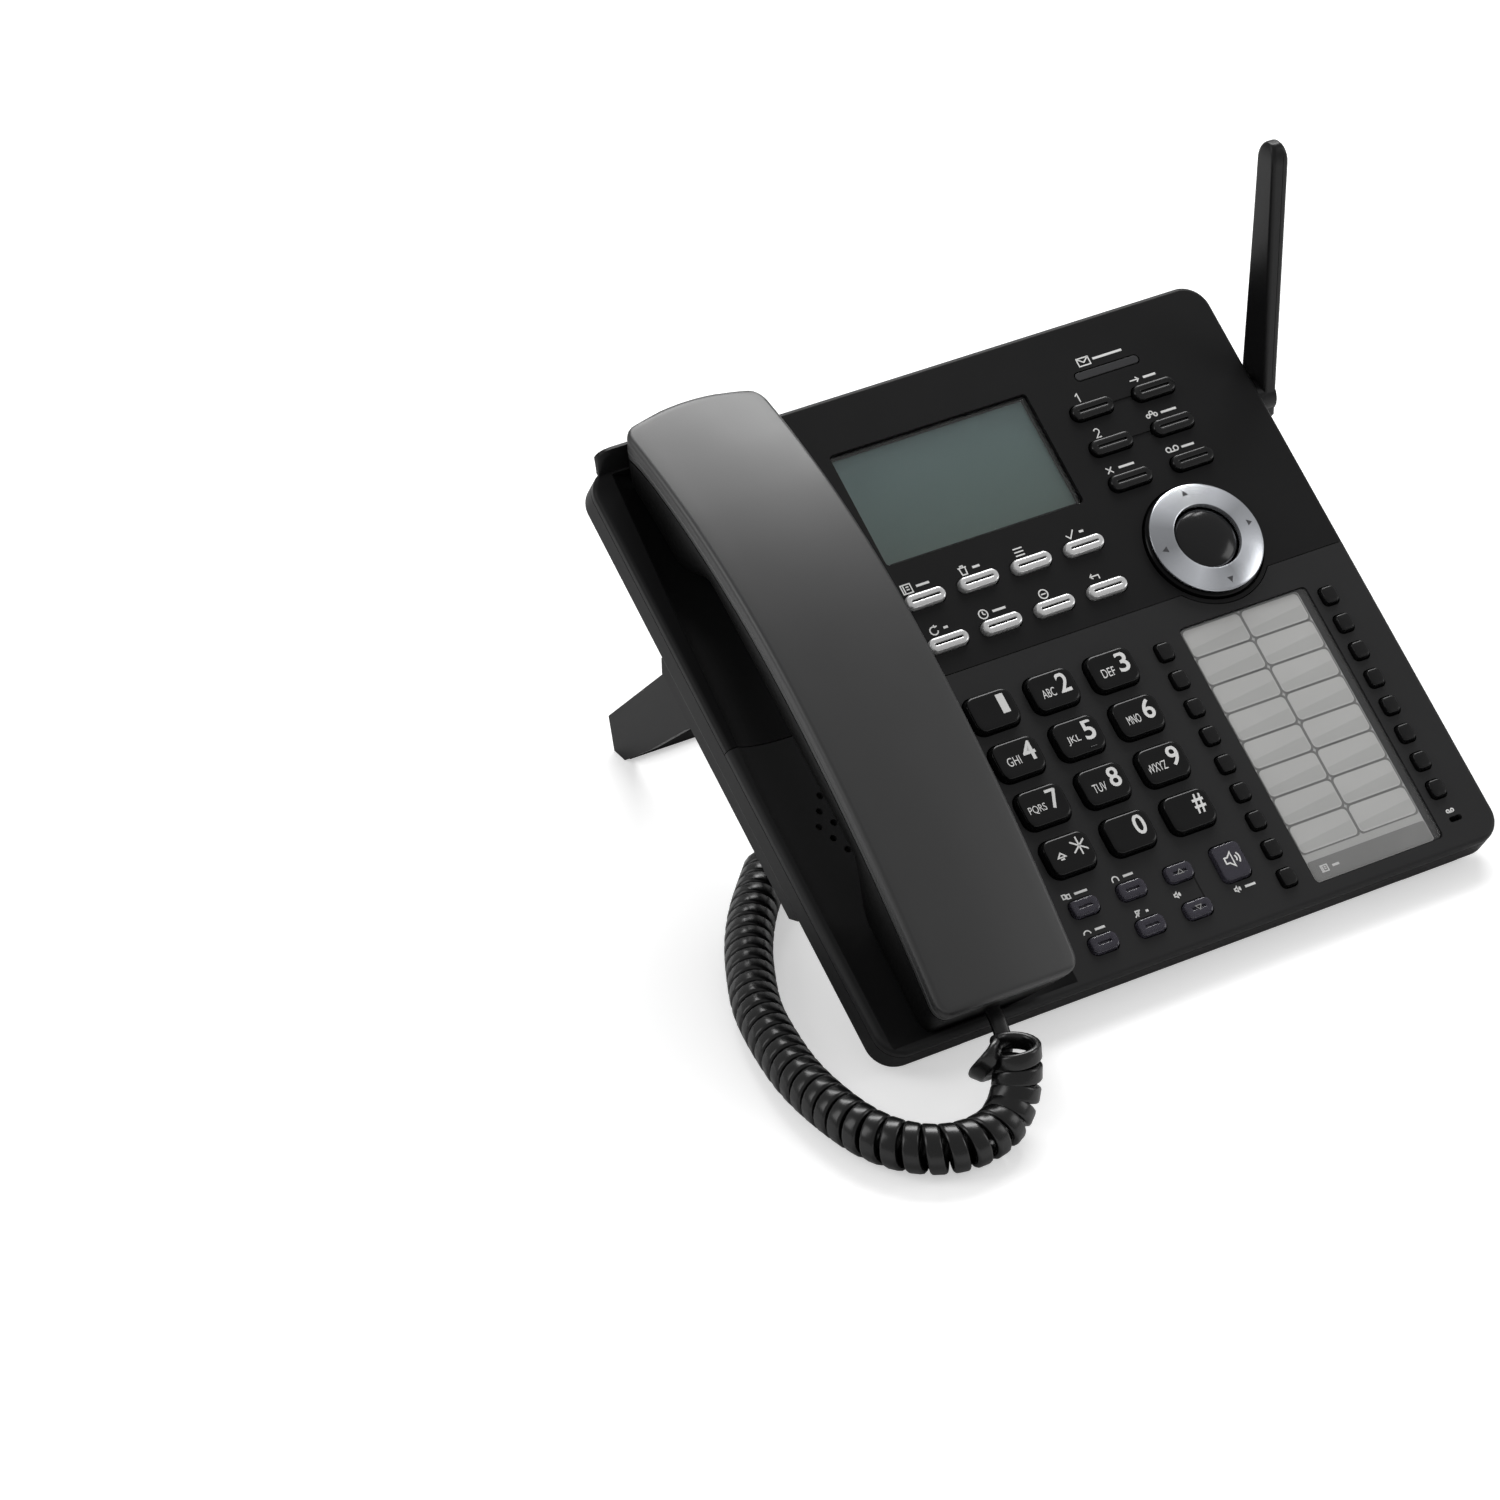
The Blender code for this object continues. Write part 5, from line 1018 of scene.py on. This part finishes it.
def make_print(sizes):
    upper = label("envelope", LAMP[0], LAMP[1] + 4.3, 15.0)
    names = ("one", "arrow", "two", "group", "cross", "reels")
    for name, (x, y), width in zip(names, FUNCTION, (5, 9, 5, 10, 10, 9)):
        upper += label(name, x - 1.0, y + 5.0, width)
    names = ("book", "bin", "menu", "tick", "again", "clock", "rest", "back")
    for name, (x, y), width in zip(names, SOFT, (9, 7, 5, 6, 6, 9, 4, 5)):
        upper += label(name, x - 0.5, y + 4.8, width)
    give(add("upper_panel_print", icons(upper, 0.03), "print"), "base", slot="upper_panel_plastic")
    lower = []
    places = (CLEAR[0], CLEAR[1], CLEAR[3], CLEAR[4])
    for name, (x, y), width in zip(("pair", "ears", "down", "silent"), places, (8, 7, 7, 4.5)):
        lower += label(name, x - 0.5, y + 4.8, width, 2.0)
    between = [(a + b) / 2 for a, b in zip(CLEAR[2], CLEAR[5])]
    lower += label("sound", between[0] - 2.6, between[1], 4.0, 1.8)
    lower += label("sound", SPEAKER[0] + 0.6, SPEAKER[1] - 8.4, 7.0, 1.8)
    lower += label("reels", MIC[0], MIC[1] + 2.6, 2.0, 1.7)
    give(add("lower_panel_print", icons(lower, 0.03), "print"), "base", slot="lower_panel_plastic")
    heading = icons(label("book", LIST[0] + 7.0, LIST[1] + 3.6, 6.0, 2.0), -0.93)
    give(add("list_print", heading, "print"), "base", slot="list_card_paper")
    place = on_panel(SPEAKER)
    mark = icons([("sound", 0.2, 0.3, 4.6)], 1.56, 0.5)
    give(add("speaker_key_print", mark, "print", place), "speaker_key_body", slot="smoke_clear_plastic")
    for mark, number in (("up", 2), ("down_mark", 5)):
        place = on_panel(CLEAR[number])
        body = f"clear_key_{'upper' if number < 3 else 'lower'}_3_body"
        give(add(f"volume_{mark}", icons([(mark, 0.0, 0.0, 1.9)], 1.46, 0.3), "print_dim", place), body,
             slot="smoke_clear_plastic")
    # Painted shade: a flat dark strip on the panel stands for the shaded engraved line that joins the volume keys
    joint = slab(0.5, 7.2, 0.2, -0.01, 0.03, centre=(between[0] + 4.0, between[1]))
    give(add("volume_groove_shade", joint, "dark"), "base", slot="lower_panel_plastic")


# Handset

def end_loss(s, radius):
    distance = min(s, HANDSET - s)
    return 0.0 if distance >= radius else radius - math.sqrt(max(radius ** 2 - (radius - distance) ** 2, 0.0))


def handset_top(s):
    """Height of the outer face over the panel, its upper end lower than its lower end."""
    span = 2 * s / HANDSET - 1
    return 32.5 - (10.5 if span < 0 else 18.2) * span * span


def end_lean(s, x, z):
    """How far a sloping or bowed end draws in at x across the handset and a height z."""
    low = s < HANDSET / 2
    end = 22.0 if low else 14.3
    fade = max(1 - min(s, HANDSET - s) / 40.0, 0.0)
    drop = max((end - z) / (end + CRADLE_DEPTH), 0.0)
    if low:
        return fade * 5.3 * drop
    return -fade * (12.4 * drop * (1.6 - 0.6 * drop) + 3.0 * (x / HANDSET_HALF) ** 2)


def handset_half(s):
    return HANDSET_HALF - end_loss(s, 5.5) * 0.8


def placed(s, outline):
    return [(HANDSET_X + x, HANDSET_START + s + end_lean(s, x, z), z) for x, z in outline]


def cover_ring(s):
    """A cross-section of the outer cover, from its left seam over the top to the right seam."""
    half = handset_half(s)
    edge = 1.7
    top = handset_top(s) - end_loss(s, edge)
    seam = handset_top(s) - 6.0
    groove = (seam + top - edge) / 2
    left = [(-half + 0.5, seam), (-half + 0.1, seam + 0.35), (-half, seam + 0.8), (-half, groove - 0.3),
            (-half + 0.22, groove - 0.1), (-half + 0.22, groove + 0.1), (-half, groove + 0.3),
            (-half, top - edge - 0.3)]
    left += [(-half + edge * (1 - math.cos(a)), top - edge + edge * math.sin(a))
             for a in (math.pi / 2 * i / 6 for i in range(7))]
    flat = [(-(half - edge) * (1 - i / 6), top + 0.8 * math.sin(math.pi / 2 * i / 6)) for i in range(1, 6)]
    outline = left + flat + [(0.0, top + 0.8)] + [(-x, z) for x, z in reversed(left + flat)]
    return placed(s, outline)


def handset_under(s):
    part = min(max((min(s, HANDSET - s) - 40.0) / 18.0, 0.0), 1.0)
    return -6.3 + 17.3 * part * part * (3 - 2 * part)


def body_ring(s):
    """A cross-section of the inner body, from its left seam under to the right seam."""
    seam = handset_top(s) - 6.3
    depth = seam - handset_under(s)
    inward = min(s, HANDSET - s)
    half = handset_half(s) - 0.25
    wide = min(max((inward - 40.0) / 40.0, 0.0), 1.0)
    foot = (20.5 + 9.5 * wide) / 2 - max(1 - inward / 5.5, 0.0) * 1.6
    points = []
    for i in range(15):
        across = math.cos(math.pi / 2 * i / 14) ** 0.55
        down = math.sin(math.pi / 2 * i / 14) ** 1.25
        points.append((-foot * 0.75 - (half - foot * 0.75) * across, seam - depth * down))
    return placed(s, points + [(-x, z) for x, z in reversed(points)])


def handset_stations():
    ends = [5.5 * (1 - math.cos(math.pi / 2 * i / 9)) for i in range(10)]
    half = ends + [8, 11, 15, 20, 26, 33, 38, 41, 44, 47, 50, 53, 56, 59, 64, 72, 82, 92]
    return half + [HANDSET / 2] + [HANDSET - s for s in reversed(half)]


def make_handset(sizes):
    places = handset_stations()
    cover = add("handset_cover_shell", loft([cover_ring(s) for s in places]), "handset", angle=24)
    give(cover, "handset", "handset_cover", slot="handset_plastic")
    # The inner shell's finish is darkened as painted shade for the shadow under the handset
    body = add("handset_inner_shell", loft([body_ring(s) for s in places]), "handset_body", angle=38)
    openings = bmesh.new()
    for y in (HANDSET_START + HANDSET - 24.8, HANDSET_START + 24.8):
        for dx, dy in [(0.0, 0.0)] + arc(0.0, 0.0, 3.6, 0, 300, 5):
            lathe([(0.0, -4.5), (0.9, -4.5), (0.9, -9.0), (0.0, -9.0)], (HANDSET_X + dx, y + dy), 16, openings)
    cut(body, openings)
    give(body, "handset", "handset_body", slot="handset_plastic")


# Cord

def smooth_points(route, per_span):
    """Points on one smooth curve through the points of a route."""
    points = [Vector(p) for p in route]
    padded = [points[0] * 2 - points[1]] + points + [points[-1] * 2 - points[-2]]
    curve = []
    for i in range(len(points) - 1):
        a, b, c, d = padded[i:i + 4]
        for j in range(per_span):
            t = j / per_span
            curve.append(0.5 * (2 * b + (c - a) * t + (2 * a - 5 * b + 4 * c - d) * t * t
                                + (3 * b - a - 3 * c + d) * t ** 3))
    return curve + [points[-1]]


def even_points(curve, step):
    total = sum((b - a).length for a, b in zip(curve, curve[1:]))
    count = max(round(total / step), 1)
    step = total / count
    result = [curve[0]]
    travelled = 0.0
    for a, b in zip(curve, curve[1:]):
        length = (b - a).length
        while travelled + length >= step * len(result) and len(result) < count:
            result.append(a.lerp(b, (step * len(result) - travelled) / length))
        travelled += length
    return result + [curve[-1]]


def settled(points, reach):
    result = []
    for i in range(len(points)):
        near = min(reach, i, len(points) - 1 - i)
        span = points[i - near:i + near + 1]
        result.append(sum(span, Vector()) / len(span))
    return result


LEAD_ROUTE = [(0.0320, -0.0105, 0.0112), (0.0260, -0.0165, 0.0105), (0.0175, -0.0200, 0.0120),
              (0.0130, -0.0255, 0.0180), (0.0145, -0.0290, 0.0245)]
COIL_ROUTE = [(0.0240, -0.0275, 0.0260), (0.0236, -0.0295, 0.0200), (0.0215, -0.0323, 0.0135),
              (0.0175, -0.0352, 0.0094), (0.0120, -0.0383, 0.0078),
              (0.0028, -0.0402, 0.0075), (-0.0065, -0.0383, 0.0075), (-0.0145, -0.0320, 0.0075),
              (-0.0200, -0.0219, 0.0075), (-0.0226, -0.0079, 0.0075), (-0.0230, 0.0099, 0.0075),
              (-0.0203, 0.0276, 0.0075), (-0.0158, 0.0446, 0.0075), (-0.0086, 0.0601, 0.0075),
              (-0.0013, 0.0730, 0.0075), (0.0075, 0.0852, 0.0075), (0.0161, 0.0948, 0.0075),
              (0.0240, 0.1030, 0.0080)]
STRAIGHT, LEAD_STEP = 0.0038, 0.0016
TAIL_ROUTE = [(0.0310, 0.1110, 0.0110), (0.0332, 0.1105, 0.0170), (0.0330, 0.1040, 0.0255)]


def panel_to_table(x, y, z):
    """A point in millimetres of the panel frame, in metres over the table from the housing's corner."""
    return TABLE.inverted() @ (PANEL @ Vector((x * MM, y * MM, z * MM)))


def cord_path(sizes):
    """Points along the cord with the way across its flat side at each, from the plug to the handset."""
    per_turn = sizes.curl_points
    radius = sizes.coil_radius
    fine = settled(settled(even_points(smooth_points(COIL_ROUTE, 24), 0.00002), 170), 170)
    axis = even_points(fine, sizes.coil_pitch / per_turn)
    side = Vector((1.0, 0.0, 0.0))
    coil, across = [], []
    for i, centre in enumerate(axis):
        tangent = (axis[min(i + 3, len(axis) - 1)] - axis[max(i - 3, 0)]).normalized()
        side = (side - tangent * side.dot(tangent)).normalized()
        other = tangent.cross(side)
        angle = math.radians(185.0) + 2 * math.pi * i / per_turn
        coil.append(centre + (side * math.cos(angle) + other * math.sin(angle)) * radius)
        across.append(tangent.copy())
    exit_z = CRADLE_DEPTH - 0.3
    start = panel_to_table(HANDSET_X, -0.5 + end_lean(0.0, 0.0, exit_z), exit_z)
    way = Vector((0.0, -math.cos(TILT), -math.sin(TILT)))
    start = start + way * (GAP * MM)
    end = panel_to_table(*PLUG, -BELLY - 11.0 + PLUG_UP - GAP)
    end_way = Vector((0.0, -math.sin(TILT), math.cos(TILT)))
    lead = smooth_points([start + way * STRAIGHT, *LEAD_ROUTE, coil[0]], 12)
    tail = smooth_points([coil[-1], *TAIL_ROUTE, end - end_way * STRAIGHT], 12)
    lead, tail = even_points([start] + lead, LEAD_STEP), even_points(tail + [end], LEAD_STEP)
    points = lead[:-1] + coil + tail[1:]
    count = len(lead) - 1
    level = Vector((1.0, 0.0, 0.0))
    sides = [level.lerp(across[0], (i / count) ** 2) for i in range(count)] + across
    sides += [across[-1].lerp(level, min(i / (len(tail) - 1) * 1.5, 1.0)) for i in range(1, len(tail))]
    return [TABLE @ p for p in reversed(points)], list(reversed(sides))


def make_cord(sizes):
    points, sides = cord_path(sizes)
    shape = bmesh.new()
    thickness = sizes.ribbon_thickness / MM
    outline = rounded(sizes.ribbon_width / MM, thickness, thickness / 2 - 0.15, 3)
    rings = []
    for i, point in enumerate(points):
        tangent = (points[min(i + 1, len(points) - 1)] - points[max(i - 1, 0)]).normalized()
        wide = (sides[i] - tangent * sides[i].dot(tangent)).normalized()
        thin = tangent.cross(wide)
        rings.append([(point + wide * (x * MM) + thin * (y * MM)) / MM for x, y in outline])
    loft(rings, into=shape)
    cord = add("curly_cord_ribbon", shape, "cord", Matrix.Identity(4), angle=60)
    plug_shape = slab(7.7, 6.6, 0.3, -BELLY + PLUG_UP - 11.0, -BELLY + PLUG_UP, edge=0.6, centre=PLUG, steps=3)
    plug = add("cord_plug_body", plug_shape, "plug")
    latch = prism([(98.3, -BELLY - 5.6), (99.4, -BELLY - 5.6), (100.6, -BELLY - 1.0), (99.9, -BELLY - 0.6),
                   (98.3, -BELLY - 4.6)], 31.4, 34.6)
    tab = give(add("cord_plug_latch", latch, "plug"), "base", slot="plug_plastic")
    give(plug, "base", "cord_plug", slot="plug_plastic")
    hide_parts("curly_cord")
    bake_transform(cord)


# Stand, feet, antenna and inner parts

def table_outline(points):
    """Panel-frame (y, z) points in millimetres, over the table."""
    rise, run = math.sin(TILT), math.cos(TILT)
    return [(y * run - z * rise, LIFT / MM + y * rise + z * run) for y, z in points]


def make_stand(sizes):
    top, right = -BELLY - GAP, WIDTH - STAND_SIDE
    inner, outer = STAND_SIDE + STAND_WALL / 2, right - STAND_WALL / 2
    arm = table_outline([(118.0, top), (137.0, top), (140.6, -CASE - GAP), (143.0, -CASE - GAP)])
    arm += [(193.0, 10.9), (189.8, 0.0), (183.5, 0.0), (168.6, 12.2), (148.0, 31.0)]
    stand = add("desk_stand_shell", prism(arm, STAND_SIDE, STAND_SIDE + STAND_WALL), "stand", TABLE)
    cut(stand, prism(arm, right - STAND_WALL, right), "UNION")
    plate = table_outline([(106.0, top - 0.15), (137.0, top - 0.15), (137.0, top - 2.6), (106.0, top - 2.6)])
    cut(stand, prism(plate, inner, outer), "UNION")
    bar = [(182.7, 0.3), (189.5, 0.3), (192.0, 9.9), (186.8, 9.9), (184.2, 6.0), (182.7, 3.0)]
    cut(stand, prism(bar, inner, outer), "UNION")
    soften(stand, 0.0006, 3)
    give(stand, "base", "desk_stand", slot="stand_plastic")
    for side, x in (("left", FOOT_LEFT), ("right", FOOT_RIGHT)):
        low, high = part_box("front_foot_" + side)
        y = ((low[1] + high[1]) / 2 - BASE.y) / MM
        foot = slab(FOOT_LENGTH, (high[1] - low[1]) / MM, 1.4, 0.0, 1.2, edge=0.1, under=0.35,
                    centre=(x + FOOT_LENGTH / 2, y))
        give(add("front_foot_pad_" + side, foot, "rubber", TABLE), "base", "front_foot_" + side,
             slot="foot_rubber")


def make_antenna(sizes):
    pivot = PANEL @ Vector((WIDTH * MM, ANTENNA_Y * MM, -ANTENNA_DEPTH * MM))
    place = Matrix.Translation(pivot)
    left, right = 1.3, 7.4

    def ring(height, back, inset, narrow):
        front, rear = -4.8 + inset, back - inset
        centre_y, length = (front + rear) / 2, rear - front
        width = right - left - inset
        points = rounded(width, length, 1.25, 5, ((left + right) / 2, centre_y))
        middle = (left + right) / 2
        return [(x + narrow * max(0.0, (centre_y - y) / length) * (1 if x < middle else -0.2), y, height)
                for x, y in points]
    heights = [(-6.4, 6.0, 0.5, 2.6), (-5.6, 6.3, 0.0, 2.6), (8.0, 6.2, 0.0, 2.4), (30.0, 5.4, 0.0, 1.8),
               (60.0, 4.3, 0.0, 1.0), (81.0, 3.7, 0.0, 0.4)]
    heights += [(81.0 + 6.0 * math.sin(a), 3.7, 3.4 * (1 - math.cos(a)), 0.3)
                for a in (math.pi / 2 * i / 7 for i in range(1, 8))]
    rings = [ring(*entry) for entry in heights]
    blade = add("antenna_blade", loft(rings), "antenna", place, angle=45)
    cut(blade, tube_along_x(0.4, 6.8, 0.0, 0.0, 5.6, 40), "UNION")
    cut(blade, tube_along_x(-4.1, 2.6, 0.0, 0.0, 1.3, 24), "UNION")
    low, high = right - 2.3, right - 2.15
    seam = [(low, -9.0), (high, -9.0), (high, -4.45), (low, -4.45)]
    cut(blade, loft([[(x, y, z) for x, y in seam] for z in (7.0, 84.0)]))
    soften(blade, sizes.edge_width * 1.5)
    give(blade, "antenna_body", "antenna", slot="antenna_plastic")


def make_inner_parts(sizes):
    """Procedural finishes for the inner nodes that keep their CAD shape."""
    finish = {"keypad_mat": "mat", "main_board": "board", "loudspeaker": "cone", "handset_receiver": "steel",
              "handset_microphone": "steel", "hook_switch": "dark"}
    for name, look in finish.items():
        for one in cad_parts[name].material_slots:
            one.material = FINISH[look]


# Camera, lights and floor

def floor_material():
    """Pale floor that is plain white to the camera where nothing shades it."""
    material, tree, shader = blank("pale_floor")
    place = node(tree, "ShaderNodeTexCoord")
    mottle = node(tree, "ShaderNodeTexNoise", [("Vector", place.outputs["Object"])], Scale=3.0)
    ramp = node(tree, "ShaderNodeMapRange", [("Value", mottle.outputs["Fac"])], To_Min=0.90, To_Max=0.92)
    tree.links.new(ramp.outputs["Result"], shader.inputs["Roughness"])
    white = (1.0, 1.0, 1.0, 1.0)
    fill(shader, Base_Color=(0.80, 0.80, 0.80, 1.0), Specular_IOR_Level=0.0, Emission_Color=white)
    rays = node(tree, "ShaderNodeLightPath")
    glow = node(tree, "ShaderNodeMath", [(0, rays.outputs["Is Camera Ray"])], operation="MULTIPLY")
    glow.inputs[1].default_value = FLOOR_GLOW
    tree.links.new(glow.outputs[0], shader.inputs["Emission Strength"])
    return material


def make_stage():
    scene = bpy.context.scene
    scene.view_settings.view_transform = "Standard"
    camera_data = bpy.data.cameras.new("camera")
    camera_data.lens = LENS
    camera_data.sensor_width = 36.0
    camera_data.clip_end = 20.0
    camera = bpy.data.objects.new("camera", camera_data)
    scene.collection.objects.link(camera)
    way = Vector(CAMERA_WAY).normalized()
    right = Vector(CAMERA_RIGHT).normalized()
    right = (right - way * right.dot(way)).normalized()
    up = right.cross(way)
    turn = Matrix((right, up, -way)).transposed().to_4x4()
    camera.matrix_world = Matrix.Translation(BASE + Vector(CAMERA)) @ turn
    scene.camera = camera
    floor_mesh = bpy.data.meshes.new("floor")
    shape = bmesh.new()
    bmesh.ops.create_grid(shape, x_segments=1, y_segments=1, size=6.0)
    shape.to_mesh(floor_mesh)
    shape.free()
    floor = bpy.data.objects.new("floor", floor_mesh)
    floor_mesh.materials.append(floor_material())
    scene.collection.objects.link(floor)
    world = bpy.data.worlds.new("studio")
    scene.world = world
    world.use_nodes = True
    tree = world.node_tree
    back = tree.nodes["Background"]
    rays = node(tree, "ShaderNodeLightPath")
    mix = node(tree, "ShaderNodeMix", [(0, rays.outputs["Is Camera Ray"])], data_type="FLOAT")
    mix.inputs[2].default_value = SURROUND
    mix.inputs[3].default_value = 1.0
    back.inputs["Color"].default_value = (1.0, 1.0, 1.0, 1.0)
    tree.links.new(mix.outputs[0], back.inputs["Strength"])
    for name, place, size, power in LAMPS:
        data = bpy.data.lights.new(name, "AREA")
        data.shape = "RECTANGLE"
        data.size, data.size_y = size
        data.energy = power
        lamp = bpy.data.objects.new(name, data)
        scene.collection.objects.link(lamp)
        lamp.location = place
        aim = Vector((0.0, 0.0, 0.06)) - Vector(place)
        lamp.rotation_euler = aim.to_track_quat("-Z", "Y").to_euler()


def operator(name, label, text, work):
    """An operator class that runs one making function."""
    def execute(self, context):
        work(context.scene.phone_sizes)
        return {"FINISHED"}
    return type("PHONE_OT_" + name, (bpy.types.Operator,),
                {"bl_idname": "phone." + name, "bl_label": label, "__doc__": text, "execute": execute})


class PHONE_OT_finishes(bpy.types.Operator):
    """Makes every finish from the chosen colours"""
    bl_idname = "phone.finishes"
    bl_label = "Finishes"

    def execute(self, context):
        make_finishes(context.scene.phone_finishes)
        return {"FINISHED"}


class PHONE_OT_stage(bpy.types.Operator):
    """Sets the camera, the lights and the pale floor"""
    bl_idname = "phone.stage"
    bl_label = "Stage"

    def execute(self, context):
        make_stage()
        return {"FINISHED"}


PIECES = (
    ("cord", "Curly cord", "Makes the flat curly cord and its plug", make_cord),
    ("panels", "Front panels", "Makes the upper and lower front panels", make_panels),
    ("case", "Case", "Makes the case under the panels", make_case),
    ("handset", "Handset", "Makes the handset's cover and inner shell", make_handset),
    ("dial_keys", "Dial keys", "Makes the dial keys and their print", make_dial_keys),
    ("bar_keys", "Bar keys", "Makes the silver and black grooved keys", make_bar_keys),
    ("clear_keys", "Translucent keys", "Makes the translucent keys", make_clear_keys),
    ("memory_keys", "Memory keys", "Makes the two columns of memory keys", make_memory_keys),
    ("navigation", "Navigation ring", "Makes the ring, its carrier and the domed button", make_navigation),
    ("display", "Display", "Makes the display, its window and the lamp", make_display),
    ("memory_list", "Memory list", "Makes the card and its cover", make_memory_list),
    ("panel_print", "Print", "Makes the pictograms on the panels", make_print),
    ("stand", "Stand", "Makes the desk stand and the feet", make_stand),
    ("antenna", "Antenna", "Makes the folding antenna", make_antenna),
    ("inner_parts", "Inner parts", "Gives the inner parts their finishes", make_inner_parts),
)
OPERATORS = [operator(*entry) for entry in PIECES]


class PHONE_PT_panel(bpy.types.Panel):
    """Lists the steps that build the telephone"""
    bl_label = "Desk telephone"
    bl_idname = "PHONE_PT_panel"
    bl_space_type = "VIEW_3D"
    bl_region_type = "UI"
    bl_category = "Telephone"

    def draw(self, context):
        layout = self.layout
        layout.operator("phone.stage")
        layout.operator("phone.finishes")
        for name, label, _, _ in PIECES:
            layout.operator("phone." + name, text=label)


CLASSES = [PhoneSizes, PhoneFinishes, PHONE_OT_stage, PHONE_OT_finishes, *OPERATORS, PHONE_PT_panel]


def register():
    for one in CLASSES:
        bpy.utils.register_class(one)
    bpy.types.Scene.phone_sizes = PointerProperty(type=PhoneSizes)
    bpy.types.Scene.phone_finishes = PointerProperty(type=PhoneFinishes)


def unregister():
    del bpy.types.Scene.phone_finishes
    del bpy.types.Scene.phone_sizes
    for one in reversed(CLASSES):
        bpy.utils.unregister_class(one)


def main():
    register()
    bpy.ops.phone.stage()
    bpy.ops.phone.finishes()
    for name, _, _, _ in PIECES:
        getattr(bpy.ops.phone, name)()


if __name__ == "__main__":
    main()
